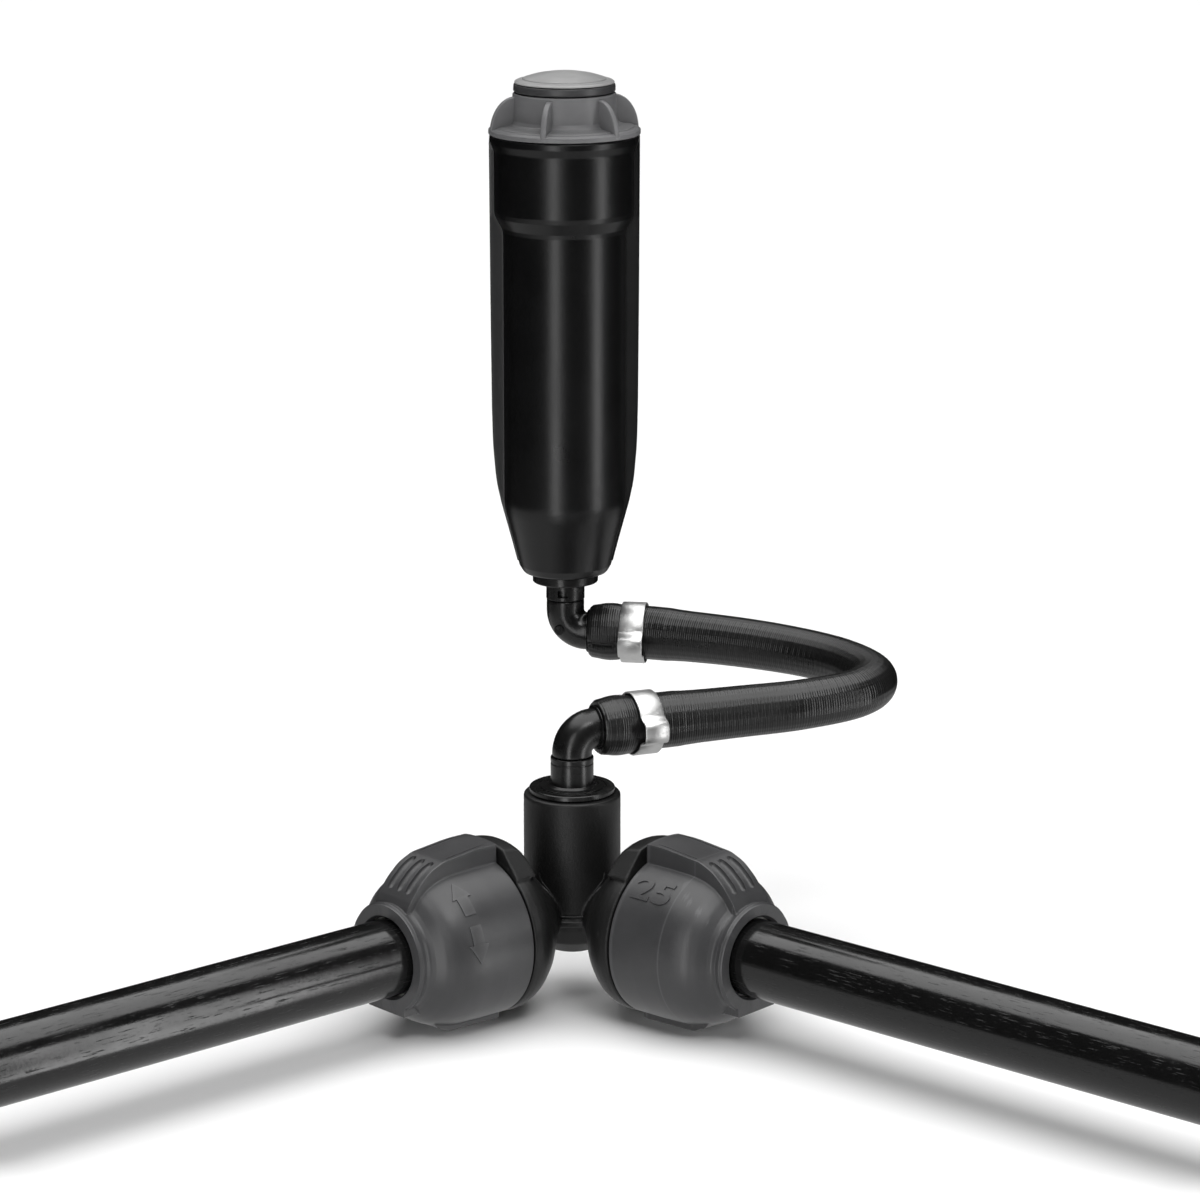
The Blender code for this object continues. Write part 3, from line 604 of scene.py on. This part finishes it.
# Solids that share an axis are turned by small odd angles, so that no two facets coincide.
tee = lathe("corner_tee_body", [
    (0, 39.9), (15.5, 39.9), (16.0, 39.4), (16.0, 3.0), (14.6, -4.0), (12.6, -9.0),
    (8.0, -13.2), (0, -14.0)], AT_TEE, 0.3, 128)
for side, axis in (("l", LEFT), ("r", RIGHT)):
    along = at((0, 0, 0), axis)
    combine(tee, "UNION", lathe("branch_" + side, [
        (0, 55.0), (20.2, 55.0), (20.2, 38.9), (26.7, 38.9), (26.9, 36.0), (26.6, 33.5, 8),
        (25.5, 30.8, 8), (22.6, 27.0, 8), (19.0, 23.4, 8), (15.2, 20.0, 8), (11.5, 16.6, 8),
        (9.4, 13.0, 3), (0, 12.6)], along, 0.5, 120))
for side, axis in (("l", LEFT), ("r", RIGHT)):
    hood = lathe("hood_" + side, [
        (0, 38.6), (31.0, 38.6), (31.3, 38.2), (30.8, 33.0, 4), (30.2, 31.6, 1), (28.5, 30.6, 2),
        (24.0, 29.6, 2), (0, 29.3)], at((0, 0, 0), axis) @ Matrix.Rotation(0.017, 4, "Z"), 0.3, 126)
    combine(hood, "DIFFERENCE", block("c", (-60, -60, -60), (60, 60, HOOD_FROM)))
    for turn in (-HOOD_SLOPE, HOOD_SLOPE):
        combine(hood, "DIFFERENCE", block("c", (-80, -80, HOOD_SIDE), (80, 80, 80),
                                          Matrix.Rotation(turn, 4, axis)))
    combine(tee, "UNION", hood)
combine(tee, "UNION", block("rib", (-5.0, -16.9, -1.9), (5.0, -8.0, 0.1), AT_TEE, 0.2))
melt(tee, 0.45, 4)
for side, axis in (("l", LEFT), ("r", RIGHT)):
    combine(tee, "DIFFERENCE", lathe("bore_" + side, [
        (0, 56.0), (16.2, 56.0), (16.2, 48.5), (12.9, 48.5), (12.9, 22.4), (7.4, 22.4),
        (7.4, -2.5), (0, -2.5)], at((0, 0, 0), axis) @ Matrix.Rotation(0.013, 4, "Z"), 0, 72))
combine(tee, "DIFFERENCE", lathe("bore_up", [
    (0, 41.0), (13.2, 41.0), (13.2, 20.0), (9.4, 20.0), (9.4, -1.0), (0, -1.0)],
    AT_TEE @ Matrix.Rotation(0.021, 4, "Z"), 0, 80))
piece(tee, "supply", GRAINED, ["corner_tee"], sharp=50, weighted=False)
bars = []
for mirror in (-1, 1):
    line = [(13.0, 1.5), (14.3, 2.7), (19.3, 6.3), (28.6, 10.1), (38.8, 12.9), (42.0, 15.5)]
    way = [Vector((mirror * EDGE_AT * math.sin(math.radians(a)),
                   -EDGE_AT * math.cos(math.radians(a)), z)) for a, z in line]
    way, _ = smooth_path(way, BAR_STEPS)
    bars.append(tube("tee_edge_%s" % ("left" if mirror < 0 else "right"), way,
                     [EDGE_RADIUS] * BAR_STEPS, 12))
way = [Vector((EDGE_AT * math.sin(math.radians(a)), -EDGE_AT * math.cos(math.radians(a)), 1.5))
       for a in range(-13, 14, 2)]
bars.append(tube("tee_edge_low", way, [EDGE_RADIUS] * len(way), 12))
for bar in bars:
    piece(bar, "supply", GRAINED, weighted=False)

# ---------------------------------------------------------------- pipes
PIPE_RADIUS, PIPE_BORE, PIPE_FROM = 12.5, 10.2, 23.0
for side, axis, end, mat in (("left", LEFT, 243.0, PIPE_L), ("right", RIGHT, 264.0, PIPE_R)):
    rows = [(PIPE_BORE, end), (PIPE_RADIUS, end), (PIPE_RADIUS, PIPE_FROM),
            (PIPE_BORE, PIPE_FROM)]
    piece(lathe("pipe_%s_body" % side, rows, at((0, 0, 0), axis), 0.25, 128), "supply", mat,
          ["supply_pipe_" + side])

# ---------------------------------------------------------------- nuts
NUT_SKIN = soften([(38.0, 26.1), (39.3, 26.1, 0), (39.9, 26.7, 0.5), (50.0, 26.7, 90),
                   (60.0, 26.4, 60), (65.0, 25.4, 30), (69.0, 23.8, 20), (72.0, 21.4, 12),
                   (74.2, 18.9, 3), (75.6, 17.7, 2), (77.0, 17.7, 2), (78.6, 18.1, 0.5),
                   (79.2, 17.6, 0.3), (79.6, 17.4)], 0.4, 5, False)
PAD_TOP = soften([(39.0, 0), (39.72, 0, 0), (39.76, 32.0, 0), (40.2, 32.5, 0.3),
                  (62.0, 30.2, 9), (67.5, 27.9, 14), (72.0, 24.0, 14), (75.6, 19.6, 4),
                  (76.8, 17.6, 0.3), (79.6, 10.0)], 0.3, 5, False)
KEEL = soften([(39.0, 0), (39.72, 0, 0), (39.76, 27.0, 0), (40.3, 27.3, 0.3), (61.0, 26.9, 4),
               (66.0, 24.6, 4), (70.0, 18.0)], 0.3, 4, False)
PAD_HALF, KEEL_HALF, PAD_ROUND = 8.0, 9.0, 32.6
NUT_FROM, NUT_END = 39.3, 79.6
SLOT_PITCH, SLOT_RADIUS, SLOT_STEPS = 4.4, 1.45, 26
LINE_AT, GROOVE_AT = 6.3, 6.6        # sideways places of the fine lines and of the keel's grooves


def nut_radius(angle, t):
    """Outer radius of a nut at an angle from its pad and at t along the pipe."""
    r = span(NUT_SKIN, t)
    for height, half, mid in ((span(PAD_TOP, t), PAD_HALF, 0.0),
                              (span(KEEL, t), KEEL_HALF, math.pi)):
        a = abs((angle - mid + math.pi) % (2 * math.pi) - math.pi)
        if height > 1 and a < 1.2:
            flat = least_of(height / math.cos(a), half / max(math.sin(a), 1e-3), 0.5)
            flat = least_of(flat, PAD_ROUND, 0.3)
            r = top_of(r, flat, 0.7)
    return r


def nut_angles(t):
    """Angles round a nut, close together at the edges and roots of its pad and keel."""
    r = span(NUT_SKIN, t)
    half_turns = []
    for height, half in ((span(PAD_TOP, t), PAD_HALF), (span(KEEL, t), KEEL_HALF)):
        root = math.asin(half / r)
        corner = min(math.atan2(half, max(height, r)), root - 0.012)
        marks = [0.0] + [corner * f for f in (0.3, 0.6, 0.85)]
        marks += [corner + d for d in (-0.03, -0.02, -0.01, 0, 0.008, 0.016)]
        marks += [root + d for d in (-0.006, 0, 0.01, 0.02, 0.035, 0.05, 0.075)]
        half_turns.append(sorted(marks))
    start, end = half_turns[0][-1], math.pi - half_turns[1][-1]
    marks = half_turns[0] + [start + (end - start) * k / 46 for k in range(1, 46)]
    marks += [math.pi - a for a in reversed(half_turns[1])]
    return marks + [2 * math.pi - a for a in reversed(marks[1:-1])]


def nut_point(angle, t, lift=0.0):
    """Point on or above a nut's skin, in its own frame."""
    r = nut_radius(angle, t) + lift
    return Vector((r * math.cos(angle), r * math.sin(angle), t))


def nut(side, axis):
    """Compression nut with its pad, slots, fine lines, keel grooves and the room inside."""
    along = at((0, 0, 0), axis)
    stops = {round(x, 3) for x, _ in NUT_SKIN + PAD_TOP + KEEL if NUT_FROM <= x <= NUT_END}
    stops |= {round(40 + 0.8 * k, 3) for k in range(50)}
    stops = sorted(s for s in stops if s <= NUT_END)
    rows = []
    for t in stops:
        angles = nut_angles(t)
        rows.append([nut_point(a, t) for a in angles])
    rows.insert(0, [Vector((0, 0, stops[0]))] * len(rows[0]))
    rows.append([Vector((0, 0, stops[-1]))] * len(rows[0]))
    made = grid("nut_%s_body" % side, rows, along)
    cutters = []
    for k in (-1, 0, 1):
        bed = [(t, span(PAD_TOP, t) + 0.1) for t in (63.2, 64.6, 66.5, 68.5, 70.5, 72.5, 74.4)]
        way, _ = smooth_path([Vector((r, SLOT_PITCH * k, t)) for t, r in bed], SLOT_STEPS)
        sizes = [SLOT_RADIUS * (1 - abs(2 * j / (SLOT_STEPS - 1) - 1) ** 7) ** 0.5 + 0.02
                 for j in range(SLOT_STEPS)]
        cutters.append(tube("slot", way, sizes, 20, along))
    fall = math.atan2(32.5 - 30.3, 62.0 - 40.2)
    for k in (-1, 1):
        line = (along @ Matrix.Translation(Vector((32.5, LINE_AT * k, 40.2)) * MM)
                @ Matrix.Rotation(-fall, 4, "Y"))
        cutters.append(block("line", (-0.25, -0.14, 1.2), (1.0, 0.14, 19.5), line))
    for k in (-1, 1):
        cutters.append(block("groove", (-28.6, GROOVE_AT * k - 0.35, 42.0),
                             (-26.9, GROOVE_AT * k + 0.35, 59.0), along))
    combine(made, "DIFFERENCE", *cutters)
    room = lathe("room", [
        (0, 80.6), (13.9, 80.6), (13.9, 79.4), (13.2, 78.6), (13.2, 76.8), (14.9, 76.0),
        (20.5, 60.0), (20.5, 38.0), (0, 38.0)], along, 0, 72)
    combine(made, "DIFFERENCE", room)
    return piece(made, "nut_" + side, ANTHRACITE, ["quick_nut_" + side], sharp=40)


nut("left", LEFT)
nut("right", RIGHT)


MARK_ROOT = -0.3                     # how deep a raised mark goes into the nut under it


def raised(name, rows, lift, side, axis):
    """Strip of (angle in degrees, low t, high t) rows laid on a nut as a raised mark."""
    faces, verts = [], []
    across = 5
    fine = []
    for (a0, l0, h0), (a1, l1, h1) in zip(rows, rows[1:]):
        bits = 1 if abs(a1 - a0) < 0.1 else 6
        fine += [(a0 + (a1 - a0) * k / bits, l0 + (l1 - l0) * k / bits,
                  h0 + (h1 - h0) * k / bits) for k in range(bits)]
    fine.append(rows[-1])
    for a, low, high in fine:
        for level in (lift, MARK_ROOT):
            for k in range(across):
                t = low + (high - low) * k / (across - 1)
                verts.append(nut_point(math.radians(a), t, level))
    width = 2 * across
    for i in range(len(fine) - 1):
        b, c = i * width, (i + 1) * width
        for k in range(across - 1):
            faces.append((b + k, b + k + 1, c + k + 1, c + k))
            faces.append((b + across + k, c + across + k, c + across + k + 1,
                          b + across + k + 1))
        faces.append((b, c, c + across, b + across))
        faces.append((b + across - 1, b + width - 1, c + width - 1, c + across - 1))
    for b in (0, (len(fine) - 1) * width):
        for k in range(across - 1):
            faces.append((b + k, b + k + 1, b + across + k + 1, b + across + k))
    made = solid(name, verts, faces, at((0, 0, 0), axis))
    return piece(made, "nut_" + side, ANTHRACITE, sharp=30, weighted=False)


ARROW_T, ARROW_HEAD_HALF, ARROW_TAIL_HALF, ARROW_LIFT = 61.6, 3.5, 2.0, 0.4
for name, sign, tip in (("arrow_tighten", 1, -26.0), ("arrow_loosen", -1, -89.0)):
    head, tail = tip - sign * 13.5, tip - sign * 27.5
    raised(name, [(tip, ARROW_T - 0.05, ARROW_T + 0.05),
                  (head, ARROW_T - ARROW_HEAD_HALF, ARROW_T + ARROW_HEAD_HALF),
                  (head - sign * 0.05, ARROW_T - ARROW_TAIL_HALF, ARROW_T + ARROW_TAIL_HALF),
                  (tail, ARROW_T - ARROW_TAIL_HALF, ARROW_T + ARROW_TAIL_HALF)],
           ARROW_LIFT, "left", LEFT)

NUMERAL_TURN, NUMERAL_ARC = math.radians(48.6), 27.0   # angle of its base line, and bend radius
NUMERAL_FROM, NUMERAL_WIDE = 43.0, 15.2
NUMERAL_LIFT, NUMERAL_RIM = 0.42, 0.2
text = bpy.data.curves.new("size_numeral", "FONT")
text.body = "25"
text.size = 11.6
text.extrude = 0.5
text.bevel_depth = 0.12
text.offset = 0.12
text.space_character = 1.05
flat = bpy.data.objects.new("size_numeral", text)
scene.collection.objects.link(flat)
bpy.context.view_layer.update()
mesh = bpy.data.meshes.new_from_object(
    flat.evaluated_get(bpy.context.evaluated_depsgraph_get()))
bpy.data.objects.remove(flat, do_unlink=True)
bm = bmesh.new()
bm.from_mesh(mesh)
bmesh.ops.remove_doubles(bm, verts=bm.verts, dist=1e-5)
bmesh.ops.triangulate(bm, faces=bm.faces)
long_edges = [e for e in bm.edges if e.calc_length() > 1.2]
bmesh.ops.subdivide_edges(bm, edges=long_edges, cuts=3)
bmesh.ops.triangulate(bm, faces=bm.faces)
wide = max(v.co.x for v in bm.verts)
along = at((0, 0, 0), RIGHT)
for v in bm.verts:
    angle = NUMERAL_TURN - v.co.y / NUMERAL_ARC
    t = NUMERAL_FROM + v.co.x * NUMERAL_WIDE / wide
    lift = NUMERAL_LIFT if v.co.z > 0.3 else (NUMERAL_RIM if v.co.z > 0 else MARK_ROOT)
    v.co = along @ (nut_point(angle, t, lift) * MM)
bmesh.ops.recalc_face_normals(bm, faces=bm.faces)
bm.to_mesh(mesh)
bm.free()
numeral = bpy.data.objects.new("size_numeral", mesh)
scene.collection.objects.link(numeral)
piece(numeral, "nut_right", ANTHRACITE, sharp=40, weighted=False)

# ---------------------------------------------------------------- case
CASE_FOOT, CASE_TOP, WING_HALF = 90.8, 243.7, 5.5
CASE_SKIN = soften([(CASE_FOOT, 14.4), (91.3, 14.9, 0.6), (93.4, 16.1, 1.5), (103.2, 18.5, 60),
                    (112.6, 21.0, 30), (116.0, 21.6, 40), (210.6, 21.6, 2.0), (212.2, 22.0, 1.5),
                    (216.0, 24.0, 1.6), (217.8, 24.5, 1.6), (238.6, 24.5, 2.5),
                    (241.4, 25.6, 1.6), (243.2, 25.7, 0.4), (CASE_TOP, 25.3)], 0.5, 5, False)
WING = soften([(90.0, 0), (95.5, 0, 0), (95.6, 16.6, 0), (103.4, 18.6, 60), (116.2, 22.1, 60),
               (124.0, 23.8, 60), (137.0, 24.9, 120), (150.0, 25.2, 200), (190.0, 25.5, 200),
               (241.4, 25.7), (CASE_TOP, 25.3)], 0.5, 5, False)


def case_row(z):
    """Section of the case at height z: barrel with two flat wings."""
    r, w, h = span(CASE_SKIN, z), span(WING, z), WING_HALF
    root = math.asin(h / r)
    corner = min(math.atan2(h, max(w, r)), root - 0.02)
    marks = [0.0, corner * 0.4, corner * 0.75]
    marks += [corner + d for d in (-0.03, -0.02, -0.01, 0, 0.006, 0.012)]
    marks += [root + d for d in (-0.008, 0, 0.01, 0.02, 0.035, 0.055, 0.08)]
    marks = sorted(marks)
    start = marks[-1]
    marks += [start + (math.pi / 2 - start) * k / 26 for k in range(1, 27)]
    quarter = [(a, top_of(r, least_of(w / math.cos(a), h / max(math.sin(a), 1e-3), 0.5), 0.5)
                if a < 1.2 and w > 1 else r) for a in marks]
    ring = quarter + [(math.pi - a, s) for a, s in reversed(quarter[:-1])]
    ring += [(2 * math.pi - a, s) for a, s in reversed(ring[1:-1])]
    return [Vector((s * math.cos(a), s * math.sin(a), z)) for a, s in ring]


stops = {round(x, 3) for x, _ in CASE_SKIN + WING if CASE_FOOT <= x <= CASE_TOP}
stops |= {round(91 + 3.0 * k, 3) for k in range(51)}
rows = [case_row(z) for z in sorted(stops)]
rows.insert(0, [Vector((0, 0, rows[0][0].z))] * len(rows[0]))
rows.append([Vector((0, 0, rows[-1][0].z))] * len(rows[0]))
case = grid("case_body", rows, AT_SPRINKLER)
combine(case, "DIFFERENCE", lathe("room", [
    (0, 245.0), (22.3, 245.0), (22.3, 219.5), (19.3, 214.0), (19.3, 113.7), (12.4, 113.7),
    (12.4, 104.6), (10.5, 103.4), (10.5, 90.0), (0, 90.0)], AT_SPRINKLER, 0, 72))
piece(case, "sprinkler", SATIN, ["sprinkler_case"], sharp=38)

# ---------------------------------------------------------------- cap
FINS, FIN_TURN = 6, -106             # count, and turn of the first in degrees
FIN_OUT, FIN_UP = 8.7, 12.4          # half axes of a fin's quarter ellipse
cap = lathe("cap_body", [
    (0, 258.0), (17.2, 258.0), (17.7, 257.6), (18.0, 249.0, 1.0), (18.6, 247.8, 1.0),
    (19.8, 247.2, 0.6), (23.6, 246.7, 0.3), (23.9, 246.35, 0.2), (25.2, 246.2), (26.0, 245.5),
    (26.0, 244.0), (22.0, 244.0), (22.0, 232.0), (0, 232.0)], AT_SPRINKLER, 0.3, 144)
for k in range(FINS):
    turn = (AT_SPRINKLER @ Matrix.Rotation(math.radians(360 // FINS * k + FIN_TURN), 4, "Z")
            @ TURN_Y)
    slices = []
    for depth, inset in ((-1.0, 0.5), (-0.87, 0.18), (-0.6, 0), (0.6, 0), (0.87, 0.18),
                         (1.0, 0.5)):
        arc = [(17.3 + (FIN_OUT - inset) * math.cos(math.radians(a)),
                244.6 + (FIN_UP - inset) * math.sin(math.radians(a)))
               for a in range(0, 91, 5)]
        outline = arc + [(16.3, 256.5), (15.0, 256.5), (15.0, 244.6)]
        slices.append([Vector((x, z, depth)) for x, z in outline])
    fin = grid("fin", slices, turn)
    combine(cap, "UNION", fin)
combine(cap, "DIFFERENCE", lathe("room", [
    (0, 259.0), (13.9, 259.0), (13.9, 253.9), (15.9, 253.9), (15.9, 244.9), (19.9, 244.9),
    (19.9, 231.0), (0, 231.0)], AT_SPRINKLER, 0, 96))
piece(cap, "sprinkler", CAP_GREY, ["screw_cap"], sharp=38)

# ---------------------------------------------------------------- head
piece(lathe("head_ring", [
    (2.6, 261.2), (16.6, 261.2), (17.3, 260.9, 0.3), (17.4, 260.3, 0.1), (17.45, 258.9, 0.1),
    (17.2, 258.5, 0.2), (16.9, 258.4), (2.6, 258.4)],
    AT_SPRINKLER, 0.2, 128), "turret", ANTHRACITE, ["turret_head"])
piece(lathe("head_cover", [
    (0, 265.2), (5.0, 265.02, 20), (10.0, 264.2, 20), (14.1, 262.95, 0.5), (14.35, 262.45, 0.2),
    (14.8, 262.4, 0.2), (16.3, 262.25, 0.5), (17.0, 261.8, 0.3), (17.1, 261.4, 0.1),
    (2.3, 261.4), (2.3, 258.7), (0, 258.7)], AT_SPRINKLER, 0.3, 128), "turret", COVER,
    ["turret_cover"])

# --------------------------------------------- parts that show when the riser is up
piece(lathe("riser_body", [
    (11.4, 236.0), (13.0, 236.0), (13.0, 118.0), (13.4, 117.0), (18.6, 116.5), (18.6, 114.0),
    (11.4, 114.0)], AT_SPRINKLER, 0.2, 96), "riser", SATIN, ["riser_tube"])
turret = lathe("nozzle_turret_body", [
    (0, 258.1), (12.5, 258.1), (13.0, 257.6), (13.0, 236.4), (0, 236.4)], AT_SPRINKLER, 0.3)
OUTLET_Z = 247.0
outlet = AT_SPRINKLER @ at((0, 0, OUTLET_Z), Vector((0, -1, 0)))


def plug(radius, low, high, matrix, steps=32):
    """Plain round cutter."""
    return lathe("plug", [(0, high), (radius, high), (radius, low), (0, low)], matrix, 0, steps)


combine(turret, "DIFFERENCE", plug(2.6, 235, 244.2, AT_SPRINKLER),
        plug(3.5, 4.6, 15.0, outlet),
        plug(2.4, 235.0, 247.0, AT_SPRINKLER @ Matrix.Translation((0, -7.2 * MM, 0))),
        plug(1.3, 248.0, 259.0, AT_SPRINKLER @ Matrix.Translation((0, -10.6 * MM, 0))))
piece(turret, "turret", SATIN, ["nozzle_turret"])
piece(lathe("nozzle_ring", [(1.7, 12.7), (3.2, 12.7), (3.2, 8.4), (1.7, 8.4)], outlet, 0.2, 48),
      "turret", ACETAL, ["spray_nozzle"])
COIL_TURNS, COIL_STEPS, COIL_RADIUS, WIRE_RADIUS = 9, 32, 16.2, 0.8
COIL_FOOT, COIL_HEIGHT = 118.0, 117.2
coil = []
for k in range(COIL_TURNS * COIL_STEPS + 1):
    a = 2 * math.pi * k / COIL_STEPS
    coil.append(Vector((COIL_RADIUS * math.cos(a), COIL_RADIUS * math.sin(a),
                        COIL_FOOT + COIL_HEIGHT * k / (COIL_TURNS * COIL_STEPS))))
spring = tube("spring_coil", coil, [WIRE_RADIUS] * len(coil), 10, AT_SPRINKLER)
piece(spring, "sprinkler", STEEL, ["retraction_spring"], weighted=False)
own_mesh(spring)

# ------------------------------------------------------- CAD nodes that stay
KEPT = {
    SEAL: ("pipe_seal_left", "pipe_seal_right", "lower_swivel_ring", "upper_swivel_ring",
           "cap_seal", "wiper_seal"),
    ACETAL: ("pressure_ring_left", "pressure_ring_right", "grip_ring_left",
             "grip_ring_right", "guide_ring", "inlet_screen", "stator_plate",
             "turbine_wheel", "turbine_pinion", "idler_wheel", "output_wheel"),
    STEEL: ("idler_pin", "turbine_shaft", "output_shaft", "radius_screw"),
    SATIN: ("gear_case", "gear_case_lid"),
}
for mat, names in KEPT.items():
    for name in names:
        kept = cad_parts[name]
        kept.data.materials.clear()
        kept.data.materials.append(mat)

# ------------------------------------------------------------ floor and light
scene.view_settings.view_transform = "Standard"
FLOOR_HALF, FLOOR_DROP = 15, 0.0002
floor_z = CAD_BOX[0][2] - FLOOR_DROP
floor = bpy.data.objects.new("floor", bpy.data.meshes.new("floor"))
floor.data.from_pydata([(x * FLOOR_HALF, y * FLOOR_HALF, floor_z)
                        for x, y in ((-1, -1), (1, -1), (1, 1), (-1, 1))], [], [(0, 1, 2, 3)])
scene.collection.objects.link(floor)
paper = bpy.data.materials.new("pale_floor")
paper.use_nodes = True
matt = paper.node_tree.nodes["Principled BSDF"].inputs
matt["Base Color"].default_value = (0.86, 0.86, 0.86, 1)
matt["Roughness"].default_value = 0.9
matt["Specular IOR Level"].default_value = 0.1
floor.data.materials.append(paper)
floor.visible_glossy = False
floor.visible_shadow = False

world = bpy.data.worlds.new("studio")
scene.world = world
world.use_nodes = True
tree = world.node_tree
way = node(tree, "ShaderNodeTexCoord").outputs["Generated"]
parts = node(tree, "ShaderNodeSeparateXYZ", [(way, "Vector")])
sky = node(tree, "ShaderNodeMapRange", [(parts.outputs[2], "Value")], From_Min=-0.1,
           From_Max=0.9, To_Min=0.05, To_Max=0.5)
tree.links.new(sky.outputs[0], tree.nodes["Background"].inputs["Strength"])


def area_light(name, size, radiance, place, turn):
    """Rectangular area light of a given radiance that the camera doesn't see."""
    lamp = bpy.data.lights.new(name, "AREA")
    lamp.shape = "RECTANGLE"
    lamp.size, lamp.size_y = size
    lamp.energy = radiance * math.pi * size[0] * size[1]
    obj = bpy.data.objects.new(name, lamp)
    obj.location = place
    obj.rotation_euler = turn
    obj.visible_camera = False
    scene.collection.objects.link(obj)


def softbox(name, turn, width, low, high, radiance):
    """Upright strip light at 1 m from the sprinkler, turned about it from the front in degrees."""
    angle = math.radians(turn)
    area_light(name, (width, high - low), radiance,
               (math.sin(angle), SPRINKLER.y * MM - math.cos(angle), (low + high) / 2),
               (math.radians(90), 0, angle))


ceiling = bpy.data.lights.new("ceiling", "SUN")
ceiling.energy = 3.7
ceiling.angle = math.radians(80)
ceiling_obj = bpy.data.objects.new("ceiling", ceiling)
ceiling_obj.rotation_euler = (math.radians(-6), 0, 0)
scene.collection.objects.link(ceiling_obj)
softbox("left_strip", -17.0, 0.22, -0.5, 0.6, 4.2)
softbox("right_strip", 62.0, 0.2, -0.5, 0.6, 5.0)
area_light("front_box", (0.5, 0.25), 8.0, (0.25, -0.75, 1.0),
           Vector((-0.22, 0.75, -0.92)).to_track_quat("-Z", "Y").to_euler())
area_light("floor_glow", (0.8, 0.6), 0.6, (0, 0, floor_z - 0.01), (math.pi, 0, 0))
